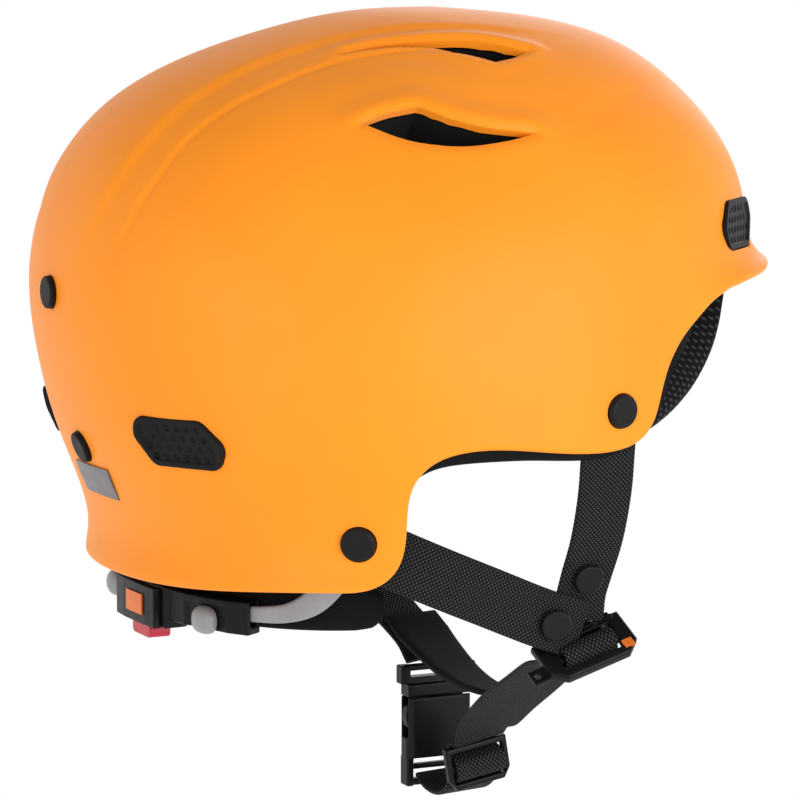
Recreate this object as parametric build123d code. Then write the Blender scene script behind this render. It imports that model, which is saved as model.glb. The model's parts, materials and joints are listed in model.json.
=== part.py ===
from build123d import *
import math
import os

import numpy as np

# Half-cut helmet with foam liner, comfort pads, webbing harness, side-release
# buckle and rear fit cradle.  Millimetres, +Z up, front towards -Y, wearer's
# left at +X.  Origin: centre of the head opening at the height of the rear rim.

# ---- driving dimensions -------------------------------------------------
SHELL_T = 3.0            # shell wall
LINER_OUT = 3.8          # liner outer face, measured in from the shell's outer face
LINER_IN = 17.0          # liner inner face
PAD_OUT = 17.35          # comfort pad outer face
PAD_IN = 25.0            # comfort pad inner face
SECTION_POWER = 2.2      # superellipse power of the plan section
BRIM_REACH = 16.0        # how far the front lip stands out
BRIM_Z = 98.0            # height that sets the lip's curve
REAR_FLARE = 6.0         # how far the rear rim stands out
WEB_W = 20.0             # webbing width
WEB_T = 1.8              # webbing thickness
RIVET_D = 11.5           # rivet cap diameter
PLUG_L, PLUG_H = 37.0, 17.0   # dimpled cover plugs
STUD_D = 10.5            # press stud cap
PRONG_L = 17.0           # buckle prong length
SOCKET_W = 26.0          # buckle socket width
SOCKET_T = 9.0
GRIP_TRAVEL = 3.5
TAB_TRAVEL = 2.0

# height, centre Y, half length, half width of the outer surface
PROFILE = np.array([
    (188.8, -17.0, 0.0, 0.0),
    (186.9, -18.0, 30.6, 20.5),
    (181.5, -17.6, 56.5, 40.5),
    (172.7, -12.8, 79.1, 59.0),
    (160.8, -8.0, 98.0, 75.5),
    (146.0, -5.9, 112.0, 89.5),
    (128.9, -4.2, 120.9, 99.5),
    (110.0, -2.1, 124.5, 106.0),
    (89.9, -1.0, 124.0, 109.3),
    (69.1, -1.6, 121.3, 110.0),
    (48.2, -3.0, 117.0, 108.6),
    (27.3, -5.8, 111.6, 106.8),
    (0.0, -9.5, 106.5, 104.5),
    (-20.0, -12.0, 103.0, 103.0)])

# lower edge of the shell in side view (Y, Z), front to rear
SHELL_RIM = [(-165, 103.5), (-140, 103.2), (-126, 102.4), (-112, 101.0), (-104, 100.2), (-97.8, 99.4), (-92.7, 98.5),
             (-88.3, 97.7), (-82.7, 95.7), (-78.1, 93.5), (-74.0, 90.5), (-70.0, 87.2), (-61.5, 79.4),
             (-56.2, 71.6), (-52.8, 61.5), (-50.6, 55.0), (-46.5, 50.0),
             (-38, 46.8), (-24, 46.2), (-6, 47.9), (10, 49.4), (22, 48.8), (31.5, 45.4),
             (37.0, 39.0), (38.6, 30.0), (38.6, 20.0), (41.0, 11.0), (48, 5.4), (62, 3.4),
             (80, 2.4), (100, 0.3), (140, -1.0)]
# lower edge of the liner
LINER_RIM = [(-165, 105), (-128, 104), (-112, 102.0), (-101, 98.5), (-88, 93.5), (-78, 86.5),
             (-70.0, 77.0), (-64.5, 70.0), (-60.5, 62.0), (-56.5, 54.0), (-49, 47.0),
             (-38, 43.2), (-22, 42.6), (-6, 43.6), (10, 43.8), (22, 43.2), (31.5, 41.0),
             (38.0, 36.0), (40.8, 29.0), (41.2, 20.0), (44.0, 12.5), (50, 8.2), (62, 6.4),
             (80, 5.6), (100, 4.6), (140, 4.0)]
# outer edge of the temple pads where they stand forward of the liner
TEMPLE_RIM = [(-165, 104), (-120, 101), (-104, 96.0), (-97.5, 88.5), (-94.6, 82.0), (-91.0, 75.5),
              (-85.3, 68.6), (-77.5, 61.4), (-68.5, 55.4), (-58.6, 50.6), (-50, 47.6), (-40, 47.0)]


# ---- outer surface ------------------------------------------------------
def natural_spline(t, y):
    """Second derivatives of the natural cubic spline through t, y."""
    n = len(t)
    h = np.diff(t)
    A = np.zeros((n, n))
    r = np.zeros(n)
    A[0, 0] = A[-1, -1] = 1.0
    for i in range(1, n - 1):
        A[i, i - 1] = h[i - 1]
        A[i, i] = 2 * (h[i - 1] + h[i])
        A[i, i + 1] = h[i]
        r[i] = 6 * ((y[i + 1] - y[i]) / h[i] - (y[i] - y[i - 1]) / h[i - 1])
    return np.linalg.solve(A, r)


KNOT = np.array([0, 10, 20, 30, 40, 50, 60, 70, 80, 90, 100, 110, 122, 131.0])
CURV = [natural_spline(KNOT, PROFILE[:, k]) for k in range(4)]


def spline_eval(k, t):
    y, m = PROFILE[:, k], CURV[k]
    i = np.clip(np.searchsorted(KNOT, t) - 1, 0, len(KNOT) - 2)
    h = KNOT[i + 1] - KNOT[i]
    a = (KNOT[i + 1] - t) / h
    b = (t - KNOT[i]) / h
    v = a * y[i] + b * y[i + 1] + ((a ** 3 - a) * m[i] + (b ** 3 - b) * m[i + 1]) * h * h / 6
    d = (y[i + 1] - y[i]) / h + (-(3 * a * a - 1) * m[i] + (3 * b * b - 1) * m[i + 1]) * h / 6
    return v, d


T_FINE = np.linspace(0, 131, 500)


def offset_table(off):
    z, dz = spline_eval(0, T_FINE)
    yc, _ = spline_eval(1, T_FINE)
    a, da = spline_eval(2, T_FINE)
    b, db = spline_eval(3, T_FINE)
    na, nb = np.hypot(dz, da), np.hypot(dz, db)
    return ((z - off * da / na)[::-1], (a + off * dz / na)[::-1], yc[::-1],
            (z - off * db / nb)[::-1], (b + off * dz / nb)[::-1])


def half_axes(z, off, cache={}):
    if off not in cache:
        cache[off] = offset_table(off)
    za, a, yc, zb, b = cache[off]
    return float(np.interp(z, za, a)), float(np.interp(z, za, yc)), float(np.interp(z, zb, b))


def smooth(x):
    x = min(max(x, 0.0), 1.0)
    return x * x * (3 - 2 * x)


def flare(phi, z):
    """Outward reach of the brim and of the rear rim at bearing phi (0 = rear)."""
    front = smooth((-math.cos(phi) - 0.45) / 0.55)
    rear = smooth((math.cos(phi) - 0.05) / 0.5)
    f = 1.5 * BRIM_REACH * front * math.exp(-((z - BRIM_Z + 7) / 11) ** 2)
    r = 1.08 * REAR_FLARE * rear * math.exp(-((z + 4) / 13) ** 2)
    return f + r


def section_points(z, off, lip=1.0, n=32):
    a, yc, b = half_axes(z, off)
    pts = []
    for i in range(n):
        ph = 2 * math.pi * i / n
        c, s = math.cos(ph), math.sin(ph)
        e = 2 / SECTION_POWER
        x = math.copysign(abs(s) ** e, s) * b
        y = math.copysign(abs(c) ** e, c) * a
        d = lip * flare(ph, z)
        r = math.hypot(x, y)
        pts.append((x * (1 + d / r), yc + y * (1 + d / r)))
    return pts


def dome(off, lip=0.0, z_low=-14.0):
    """Solid bounded by the outer surface moved inwards by off."""
    top = PROFILE[0, 0] - off
    levels = [z_low, -6.0, 2.0, 10.0, 18.0, 28.0, 42.0, 58.0, 70.0, 79.0, 86.0, 91.0, 95.0, 98.0, 101.0,
              105.0, 110.0, 116.0, 124.0, 135.0, 146.0, 157.0, 166.0, 173.5, 179.5, 183.8, 186.6, 188.1]
    secs = []
    for z in levels:
        zz = z if z < 125 else 125 + (z - 125) * (top - 125) / (PROFILE[0, 0] - 125)
        pts = section_points(zz, off, lip)
        e = Edge.make_spline([Vector(x, y, zz) for x, y in pts], periodic=True,
                             parameters=[i / len(pts) for i in range(len(pts) + 1)])
        secs.append(Wire([e]))
    body = Solid.make_loft(secs, False)
    return Solid(body.wrapped.Reversed()) if body.volume < 0 else body


def below(rim, x_half=180.0, z_bottom=-60.0):
    """Everything lower than a rim line given in side view."""
    curve = Spline(*[Vector(0, y, z) for y, z in rim])
    y0, z0 = rim[0]
    y1, z1 = rim[-1]
    wire = Wire([curve, Edge.make_line((0, y1, z1), (0, y1, z_bottom)),
                 Edge.make_line((0, y1, z_bottom), (0, y0, z_bottom)),
                 Edge.make_line((0, y0, z_bottom), (0, y0, z0))])
    face = Face(wire)
    s = Solid.extrude(face, Vector(2 * x_half, 0, 0))
    return Pos(-x_half, 0, 0) * s


def surface_point(y, z, side, off=0.0):
    """Point and outward normal of the surface at side view (y, z)."""
    a, yc, b = half_axes(z, off)
    u = min(1.0, abs(y - yc) / a)
    x = b * (1 - u ** SECTION_POWER) ** (1 / SECTION_POWER)

    def f(px, py, pz):
        aa, cc, bb = half_axes(pz, off)
        return (abs(px) / bb) ** SECTION_POWER + (abs(py - cc) / aa) ** SECTION_POWER
    h = 0.5
    n = Vector((f(x + h, y, z) - f(x - h, y, z)), (f(x, y + h, z) - f(x, y - h, z)),
               (f(x, y, z + h) - f(x, y, z - h))).normalized()
    return Vector(side * x, y, z), Vector(side * n.X, n.Y, n.Z)


def rear_point(x, z, off=0.0):
    """Point and outward normal of the back of the surface."""
    a, yc, b = half_axes(z, off)
    u = abs(x) / b
    y = yc + a * (1 - u ** SECTION_POWER) ** (1 / SECTION_POWER)
    p, n = surface_point(y, z, 1, off)
    s = 1 if x >= 0 else -1
    return Vector(x, y, z), Vector(s * n.X, n.Y, n.Z)


def box(x0, x1, y0, y1, z0, z1):
    return Pos((x0 + x1) / 2, (y0 + y1) / 2, (z0 + z1) / 2) * Box(x1 - x0, y1 - y0, z1 - z0)


def ribbon(sections):
    """Ruled solid through rectangles: (centre, width vector, thickness vector)."""
    faces = []
    for c, w, t in sections:
        c, w, t = Vector(*c), Vector(*w) * 0.5, Vector(*t) * 0.5
        faces.append(Wire.make_polygon([c - w - t, c + w - t, c + w + t, c - w + t], close=True))
    body = Solid.make_loft(faces, True)
    return Solid(body.wrapped.Reversed()) if body.volume < 0 else body


def strap(points, width_dirs, width=WEB_W, thick=WEB_T):
    """Flat webbing through points, each with its own width direction."""
    secs = []
    n = len(points)
    for i, (p, w) in enumerate(zip(points, width_dirs)):
        a = Vector(*points[max(0, i - 1)])
        b = Vector(*points[min(n - 1, i + 1)])
        tan = (b - a).normalized()
        wv = Vector(*w)
        wv = (wv - tan * wv.dot(tan)).normalized()
        nv = tan.cross(wv).normalized()
        secs.append((p, tuple(wv * width), tuple(nv * thick)))
    return ribbon(secs)


def mirror_x(shape):
    return mirror(shape, about=Plane.YZ)


def side_pair(shape):
    """Right-hand piece and its mirror image."""
    return shape, mirror_x(shape)


os.makedirs("parts", exist_ok=True)
PARTS = {}

# ---- shell --------------------------------------------------------------
outer = dome(0.0, lip=1.0)
shell_inner = dome(SHELL_T, lip=0.72)
liner_outer = dome(LINER_OUT, lip=0.0)
liner_inner = dome(LINER_IN, lip=0.0)
pad_outer = dome(PAD_OUT, lip=0.0)
pad_inner = dome(PAD_IN, lip=0.0)

shell = (outer - shell_inner) - below(SHELL_RIM)

# vents: two a side, cut through shell and liner
SIDE_VENT = [(-74.5, 43.0, 155.5), (-75.0, 24.0, 159.5), (-81.0, 13.0, 155.0), (-84.5, 0.0, 152.0),
             (-86.0, -13.5, 150.3), (-88.0, -3.0, 147.5), (-88.2, 12.0, 146.3), (-82.0, 34.0, 149.5)]
TOP_VENT = [(-41.0, 33.0, 178.0), (-42.0, 8.0, 181.0), (-44.0, -12.0, 181.0), (-51.5, -28.0, 177.0),
            (-58.0, -14.0, 173.5), (-51.0, 8.0, 176.5)]


def vent_prism(points, direction):
    d = Vector(*direction).normalized()
    out = [Vector(*p) + d * 14 for p in points]
    pl = Plane(origin=out[0], z_dir=d)
    flat = [pl.from_local_coords(Vector(q.X, q.Y, 0)) for q in
            [pl.to_local_coords(p) for p in out]]
    face = Face(Wire.make_polygon(flat, close=True))
    return Solid.extrude(face, d * -36)


vents = []
for pts, d in ((SIDE_VENT, (-0.72, 0.05, 0.69)), (TOP_VENT, (-0.42, 0.0, 0.91))):
    v = vent_prism(pts, d)
    vents += [v, mirror_x(v)]
for v in vents:
    shell = shell - v

# cover plugs: one on each rear and front quarter
def plug_plane(p, n):
    along = Vector(0, 0, 1).cross(n).normalized()
    return Plane(origin=p, x_dir=along, z_dir=n)


def quarter_plug(pl, skew):
    """Rounded dimpled cover with a raised border and a retaining step behind."""
    half = PLUG_L / 2
    outline = Polyline((-half + 1.5, PLUG_H / 2), (half - 8.5, PLUG_H / 2), (half, -0.5),
                       (half - 3.5, -PLUG_H / 2), (-half + 7, -PLUG_H / 2), (-half, 1.5), close=True)
    face = fillet(make_face(outline).vertices(), 4.5)
    if skew < 0:
        face = mirror(face, about=Plane.YZ)
    inner = offset(face, amount=-2.0)
    body = extrude(face, amount=-4.6) + extrude(face, amount=1.0)
    body -= Pos(0, 0, 0.35) * extrude(inner, amount=2)
    for r in range(4):
        for c in range(7):
            x = -12.3 + c * 4.1 + (2.05 if r % 2 else 0.0)
            y = 5.1 - r * 3.4
            if abs(x) < 12.6 - (1.6 if abs(y) > 4 else 0):
                body -= Pos(x, y, 0.35) * Cylinder(1.05, 1.2)
    return pl * body, pl * (Pos(0, 0, -8) * extrude(offset(face, amount=0.3), amount=16))


rear_q, rear_n = rear_point(-57.5, 50.5)
front_q, front_n = surface_point(-101.0, 116.5, -1)
for name, p, n, skew in (("rear", rear_q, rear_n, 1), ("front", front_q, front_n, -1)):
    plug, hole = quarter_plug(plug_plane(p - n * 0.8, n), skew)
    right, left = side_pair(plug)
    PARTS[name + "_quarter_plug_right"] = right
    PARTS[name + "_quarter_plug_left"] = left
    shell = shell - hole - mirror_x(hole)
    pocket = plug_plane(p, n) * Pos(0, 0, -2.0) * Box(38, 21, 9)
    liner_outer = liner_outer - pocket - mirror_x(pocket)

# two round covers on the centre line at the back
for name, z in (("upper", 96.0), ("lower", 43.5)):
    p, n = rear_point(0.0, z)
    pl = Plane(origin=p, x_dir=(1, 0, 0), z_dir=n)
    cap = Cylinder(5.5, 2.2, align=(Align.CENTER, Align.CENTER, Align.MIN))
    cap = Pos(0, 0, -0.2) * fillet(cap.edges().group_by(Axis.Z)[-1], 0.8)
    stem = Pos(0, 0, -3.6) * Cylinder(4.0, 3.6, align=(Align.CENTER, Align.CENTER, Align.MIN))
    PARTS["rear_plug_" + name] = pl * (cap + stem)
    shell -= pl * Pos(0, 0, -0.25) * Cylinder(5.8, 8, align=(Align.CENTER, Align.CENTER, Align.MIN))
    shell -= pl * Cylinder(4.3, 12)
    liner_outer -= pl * Pos(0, 0, -4) * Cylinder(6.0, 5)

# ---- rivets -------------------------------------------------------------
RIVETS = {"rear": (52.6, 19.5), "front": (-35.9, 59.6)}
caps, washers = [], []
INNER_X = {"rear": 77.0, "front": 96.6}
for key, (y, z) in RIVETS.items():
    p, n = surface_point(y, z, -1)
    pl = Plane(origin=p, x_dir=Vector(0, 0, 1).cross(n).normalized(), z_dir=n)
    head = Cylinder(RIVET_D / 2, 2.6, align=(Align.CENTER, Align.CENTER, Align.MIN))
    head = fillet(head.edges().group_by(Axis.Z)[-1], 1.4)
    head = pl * Pos(0, 0, -0.6) * head
    x_in = -INNER_X[key]
    shank = Pos((p.X + 0.8 + x_in) / 2, y, z) * Rot(0, 90, 0) * Cylinder(2.0, abs(x_in - p.X - 0.8))
    rivet = head + shank
    shell -= pl * Pos(0, 0, -0.9) * Cylinder(RIVET_D / 2 + 0.3, 6, align=(Align.CENTER, Align.CENTER, Align.MIN))
    shell -= mirror_x(pl * Pos(0, 0, -0.9) * Cylinder(RIVET_D / 2 + 0.3, 6, align=(Align.CENTER, Align.CENTER, Align.MIN)))
    bore = Pos(p.X, y, z) * Rot(0, 90, 0) * Cylinder(2.3, 30)
    shell = shell - bore - mirror_x(bore)
    caps += list(side_pair(rivet))
    w = Pos(x_in - 0.8, y, z) * Rot(0, 90, 0) * (Cylinder(6.0, 1.5) - Cylinder(2.03, 3))
    washers += list(side_pair(w))
PARTS["rivet_caps"] = Compound(children=caps)
PARTS["rivet_washers"] = Compound(children=washers)
PARTS["outer_shell"] = shell

# ---- liner --------------------------------------------------------------
liner = liner_outer - liner_inner - below(LINER_RIM)
for v in vents:
    liner -= v
for s in (1, -1):
    liner -= box(min(s * 62, s * 120), max(s * 62, s * 120), 30, 80, -30, 37)
    liner -= box(min(s * 95.2, s * 125), max(s * 95.2, s * 125), -50, -21, 30, 71)
PARTS["foam_liner"] = liner

# ---- comfort pads -------------------------------------------------------
pad_wall = pad_outer - pad_inner
crown = pad_wall & box(-52, 52, -72, 60, 140, 190)
PARTS["crown_pad"] = crown
brow = pad_wall & box(-58, 58, -140, -60, 102, 132)
PARTS["brow_pad"] = brow
rear = pad_wall & box(-52, 52, 60, 140, 24, 62)
PARTS["rear_pad"] = rear
skirt = (liner_outer - pad_outer) & below([(y - 0.4, z - 0.45) for y, z in LINER_RIM])
pad_zone = box(-130, -58.4, -110, -56.5, 40, 95) - below(TEMPLE_RIM)
temple = ((pad_wall & box(-130, -58.4, -104, -46, 50, 112)) + (skirt & box(-130, -58.4, -110, -53, 40, 94))) - below(TEMPLE_RIM)
temple_list = sorted(temple.solids(), key=lambda s: s.volume)
temple = temple_list[-1]
PARTS["temple_pad_right"], PARTS["temple_pad_left"] = side_pair(temple)

# ---- blank sticker on the back -----------------------------------------
sticker = (dome(-0.5, lip=1.0) & box(-15, 15, 60, 140, 26.5, 37.0)) - outer
PARTS["blank_label"] = sticker

# ---- harness webbing ----------------------------------------------------
FRONT_PTS = [(-99.7, -34.6, 67), (-99.4, -35, 53), (-97.3, -35.6, 43), (-94.0, -36.3, 30),
             (-89.2, -36.2, 15), (-84.8, -34.6, 2), (-81.6, -33.8, -7), (-80.1, -33.8, -13.0)]
FRONT_W = [(0, 1, 0)] * 4 + [(0, 1, -0.03), (0, 1, -0.12), (0, 1, -0.24), (0, 1, -0.3)]
REAR_PTS = [(-83.6, 56.0, 21.7), (-84.6, 52.6, 20.2), (-88.4, 38.7, 13.4), (-90.0, 21.6, 5.6),
            (-88.6, 4.0, -2.0), (-86.2, -15.0, -10.2), (-84.4, -27.0, -14.6)]
REAR_W = [(0, -0.42, 0.9)] * 7
front_strap = strap(FRONT_PTS, FRONT_W)
rear_strap = strap(REAR_PTS, REAR_W)
for key, st in (("front", front_strap), ("rear", rear_strap)):
    y, z = RIVETS[key]
    st = st - Pos(-90, y, z) * Rot(0, 90, 0) * Cylinder(2.3, 60)
    PARTS[key + "_strap_right"], PARTS[key + "_strap_left"] = side_pair(st)

# press stud caps on the webbing, two a side
studs = []
for p, n in (((-86.2, -34.2, 1.3), (-0.95, 0.02, -0.30)), ((-87.9, -21.5, -13.2), (-0.97, 0.22, -0.1))):
    n = Vector(*n).normalized()
    pl = Plane(origin=Vector(*p) + n * 0.35, x_dir=n.cross(Vector(0, 0, 1)).normalized(), z_dir=n)
    c = Cylinder(STUD_D / 2, 2.0, align=(Align.CENTER, Align.CENTER, Align.MIN))
    c = fillet(c.edges().group_by(Axis.Z)[-1], 0.9)
    studs += list(side_pair(pl * c))
PARTS["press_stud_caps"] = Compound(children=studs)

# ---- strap locks --------------------------------------------------------
LOCK_O = Vector(-79.0, -34.2, -19.5)
LOCK_B = Vector(0, -0.956, 0.295).normalized()
LOCK_H = Vector(-0.78, -0.18, -0.59).normalized()
LOCK_N = LOCK_H.cross(LOCK_B).normalized()
lock_plane = Plane(origin=LOCK_O, x_dir=LOCK_B, z_dir=LOCK_N)
lock = extrude(make_face(Polyline((-17, 2.2), (17, 2.2), (17, -11.0), (12, -15), (-12, -15), (-17, -11), close=True)), amount=1.7, both=True)
lock = lock - Pos(0, -2.9, 0) * Box(23, 3.6, 10) - Pos(0, -9.9, 0) * Box(23, 3.6, 10)
lock = chamfer(lock.faces().sort_by(Axis.Z)[-1].outer_wire().edges(), 0.7)
ridge = Pos(0, 0.9, 2.1) * Box(28, 1.4, 1.0)
tab = Pos(-19.6, -8.5, -1.0) * Box(6.5, 6.0, 1.4) - Pos(-20.6, -8.5, 0) * Cylinder(1.1, 10)
lock = lock + ridge + tab
s = lock_plane.y_dir.dot(LOCK_H)
if s > 0:
    lock = mirror(lock, about=Plane.XZ)
lock = lock_plane * lock
PARTS["strap_lock_right"], PARTS["strap_lock_left"] = side_pair(lock)

# chin webbing from the right lock, and the short left one
CHIN_PTS = [(-74.5, -31.2, -27.5), (-66, -31.2, -32.0), (-50, -31.8, -40.8), (-30, -33.2, -51.0),
            (-10, -36.5, -61.5), (3.0, -39.5, -68.0), (9.0, -41.0, -72.6)]
CHIN_W = [(-0.10, -0.95, 0.15), (-0.159, -0.951, -0.1), (-0.159, -0.951, -0.2), (-0.159, -0.951, -0.265),
          (-0.13, -0.951, -0.2), (-0.05, -0.97, 0.05), (0.0, -0.986, 0.166)]
PARTS["chin_strap"] = strap(CHIN_PTS, CHIN_W)
LEFT_PTS = [(74.5, -31.2, -27.5), (69, -33.0, -32.5), (60.5, -36.0, -38.5), (53.0, -38.6, -44.0), (48.0, -39.8, -50.2)]
LEFT_W = [(0.10, -0.95, 0.15), (0.1, -0.97, 0.08), (0.05, -0.99, 0.0), (0, -1, 0), (0, -1, 0)]
PARTS["left_chin_strap"] = strap(LEFT_PTS, LEFT_W)
GUARD_PTS = [(59.0, -37.4, -35.6), (50.5, -38.0, -40.2), (38, -37.6, -44.2), (20, -36.6, -48.4), (4, -36.0, -50.4),
             (-12, -35.6, -50.6), (-22, -35.6, -49.8)]
GUARD_SIZE = [22, 22, 20, 17.5, 15, 12.5, 9]
secs = []
for i, (p, w) in enumerate(zip(GUARD_PTS, GUARD_SIZE)):
    a = Vector(*GUARD_PTS[max(0, i - 1)])
    b = Vector(*GUARD_PTS[min(len(GUARD_PTS) - 1, i + 1)])
    tan = (b - a).normalized()
    wv = Vector(0, 1, 0)
    wv = (wv - tan * wv.dot(tan)).normalized()
    secs.append((p, tuple(wv * w), tuple(tan.cross(wv).normalized() * 3.0)))
PARTS["chin_guard"] = ribbon(secs)

# ---- side-release buckle -----------------------------------------------
BX, BY = 43.0, -40.0
plug = box(BX - 2.6, BX + 2.6, BY - 15, BY + 15, -57.5, -55.0)            # shoulder bar
plug += box(BX - 2.6, BX + 2.6, BY + 11.2, BY + 15, -57.5, -50.6)
plug += box(BX - 2.6, BX + 2.6, BY - 15, BY - 11.2, -57.5, -50.6)
plug += box(BX - 1.6, BX + 1.6, BY - 15, BY + 15, -52.8, -50.6)           # webbing bar
plug += box(BX - 3.6, BX + 3.6, BY - 12.6, BY + 12.6, -62.2, -57.5)       # collar
plug += box(BX - 1.2, BX + 1.2, BY - 2.2, BY + 2.2, -76.0, -62.2)         # centre guide
PARTS["buckle_plug"] = plug
prong = box(BX - 1.9, BX + 1.9, BY + 6.6, BY + 9.6, -62.6 - PRONG_L + 5, -62.45)
ear = extrude(make_face(Polyline((9.6, -64.0), (12.4, -66.5), (12.9, -70.0), (12.2, -73.4), (9.6, -75.4), (7.6, -76.8), (6.6, -74.2), (6.6, -66), close=True)), amount=1.9, both=True)
ear = Pos(BX, BY, 0) * Rot(0, 0, 90) * Rot(90, 0, 0) * ear
prong_rear = (prong + ear)
PARTS["buckle_prong_rear"] = prong_rear
PARTS["buckle_prong_front"] = mirror(prong_rear, about=Plane.XZ.offset(-BY))

st2 = SOCKET_T / 2
socket = box(BX - st2, BX + st2, BY - SOCKET_W / 2, BY + SOCKET_W / 2, -85.0, -62.5)
socket = fillet(socket.edges().filter_by(Axis.Z), 3.0)
socket -= box(BX - st2 + 1.8, BX + st2 - 1.8, BY - 10.4, BY + 10.4, -79.0, -60)
for sgn in (1, -1):
    y0, y1 = sorted((BY + sgn * 8.0, BY + sgn * 20))
    socket -= box(BX - st2 + 1.8, BX + st2 - 1.8, y0, y1, -77.6, -60)
leg_y = SOCKET_W / 2
for sgn in (1, -1):
    y0, y1 = sorted((BY + sgn * (leg_y - 2.6), BY + sgn * leg_y))
    socket += box(BX - 3.2, BX + 3.2, y0, y1, -95.5, -85.0)
socket += box(BX - 1.8, BX + 1.8, BY - leg_y, BY + leg_y, -95.5, -93.0)
socket += box(BX + 0.2, BX + 3.2, BY - leg_y, BY + leg_y, -90.0, -88.0)
PARTS["buckle_socket"] = socket

slider_plane = Plane(origin=(11.5, -41.5, -82.0), x_dir=Vector(0, -0.986, 0.166), z_dir=(-1, 0, 0))
slider = extrude(make_face(Polyline((-12.3, 8), (12.3, 8), (12.3, -4), (9.5, -8), (-9.5, -8), (-12.3, -4), close=True)), amount=1.6, both=True)
slider = slider - Pos(0, 3.6, 0) * Box(20.6, 4.2, 8) - Pos(0, -3.6, 0) * Box(20.6, 4.2, 8)
slider = fillet(slider.faces().sort_by(Axis.Z)[-1].outer_wire().edges(), 0.8)
PARTS["strap_slider"] = slider_plane * slider
LOOP_PTS = [(14.4, -41.5, -78.0), (15.0, -41.5, -86.0), (18.5, -41.4, -91.6), (25.5, -41.2, -94.4), (32.5, -40.8, -94.6), (38.2, -40.4, -92.4), (40.0, -40.2, -90.6)]
LOOP_W = [(0, -0.986, 0.166), (0, -0.986, 0.15), (0, -0.99, 0.1), (0, -1, 0.05), (0, -1, 0), (0, -1, 0), (0, -1, 0)]
PARTS["buckle_loop"] = strap(LOOP_PTS, LOOP_W)

# ---- rear fit cradle ----------------------------------------------------
PATH = [(0, 91.0), (10, 90.9), (20, 90.2), (30, 88.4), (40, 85.6), (50, 81.4), (58, 76.6), (65, 70.6), (71, 63.6), (76, 55.6), (79.5, 47), (81.5, 38)]


def path_offset(d, count):
    pts = []
    for i in range(count):
        a = Vector(*PATH[max(0, i - 1)], 0)
        b = Vector(*PATH[i + 1], 0)
        if i == 0:
            a = Vector(-b.X, b.Y, 0)
        t = (b - a).normalized()
        n = Vector(-t.Y, t.X, 0)          # points outwards (to the rear)
        if n.Y < 0:
            n = n * -1
        pts.append(Vector(*PATH[i], 0) + n * d)
    return pts


def band(d_in, d_out, count, z0, z1):
    """Curved bar that follows the path, symmetric about the centre plane."""
    po, pi_ = path_offset(d_out, count), path_offset(d_in, count)
    right = [Vector(-p.X, p.Y, 0) for p in po[::-1]] + po[1:]
    left = pi_[::-1] + [Vector(-p.X, p.Y, 0) for p in pi_[1:]]
    face = make_face(Polyline(*[(p.X, p.Y) for p in right + left], close=True))
    return Pos(0, 0, z0) * extrude(face, amount=z1 - z0)


housing = band(-7.6, 0.0, 7, -14.6, -3.4)
housing += band(-7.6, 1.2, 3, -17.4, -3.0)
housing -= band(-5.9, -1.5, 8, -11.8, -3.9)
gx, gy = 40.4, 85.5
g_dir = Vector(0.30, 0.954, 0).normalized()
grips = []
for sgn in (-1, 1):
    gp = Plane(origin=(sgn * gx, gy - 1.2, -11.2), x_dir=Vector(g_dir.Y, -sgn * g_dir.X, 0), z_dir=Vector(sgn * g_dir.X, g_dir.Y, 0))
    pocket = gp * Pos(0, 0, 0) * Box(12.4 + 2 * GRIP_TRAVEL + 0.8, 10.2, 5.0, align=(Align.CENTER, Align.CENTER, Align.MIN))
    housing -= pocket
    g = extrude(fillet(Rectangle(12.0, 9.6).vertices(), 3.2), amount=3.6)
    g = fillet(g.edges().group_by(Axis.Z)[-1], 1.8)
    grips.append(gp * Pos(0, 0, 0.3) * g)
grip_axis_right = Vector(g_dir.Y, g_dir.X, 0)
PARTS["adjuster_grip_right"], PARTS["adjuster_grip_left"] = grips
housing -= box(-9.2, 9.2, 83.6, 95, -25, -15.2)
PARTS["adjuster_housing"] = housing
cover = band(1.35, 3.9, 3, -17.4, -3.8)
cover = cover & box(-17.5, 17.5, 80, 100, -18, -3)
PARTS["adjuster_cover"] = cover
badge = (band(4.0, 4.6, 3, -14.0, -7.0)) & box(-9, 5, 80, 100, -18, -3)
PARTS["cradle_badge"] = badge
tab = box(-8.2, 8.2, 84.4, 92.0, -22.6, -17.9)
tab = fillet(tab.edges().filter_by(Axis.Y), 2.0)
tab += box(-6, 6, 85.4, 89.6, -17.9, -17.35)
PARTS["release_tab"] = tab

nape = band(-12.6, -8.0, 11, -13.5, 2.5)
PARTS["nape_band"] = nape

ARM = [((-50.5, 77.6, -7.8), 5.2, (-0.40, 0.92, 0)), ((-58.6, 72.8, -7.4), 5.4, (-0.55, 0.83, 0)),
       ((-66.5, 66.4, -6.2), 6.4, (-0.66, 0.75, 0)), ((-72.6, 60.6, -2.6), 8.4, (-0.78, 0.60, -0.15)),
       ((-77.2, 56.6, 3.4), 10.2, (-0.88, 0.42, -0.25)), ((-80.2, 54.2, 10.4), 11.4, (-0.95, 0.2, -0.3))]
secs = []
for i, (c, h, n) in enumerate(ARM):
    a = Vector(*ARM[max(0, i - 1)][0])
    b = Vector(*ARM[min(len(ARM) - 1, i + 1)][0])
    tan = (b - a).normalized()
    nv = Vector(*n)
    nv = (nv - tan * nv.dot(tan)).normalized()
    wv = tan.cross(nv).normalized()
    secs.append((c, tuple(wv * h), tuple(nv * 2.2)))
arm = ribbon(secs)
disc = Pos(-81.2, 52.6, 19.5) * Rot(0, 90, 0) * Cylinder(7.4, 2.2)
neck = ribbon([((-80.2, 54.2, 10.4), (0, 11.0, 2.0), (2.2, 0, 0)), ((-81.2, 52.6, 19.5), (0, 12.5, 0), (2.2, 0, 0))])
arm = arm + disc + neck
arm -= Pos(-81.2, 52.6, 19.5) * Rot(0, 90, 0) * Cylinder(2.35, 12)
PARTS["cradle_arm_right"], PARTS["cradle_arm_left"] = side_pair(arm)

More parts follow.
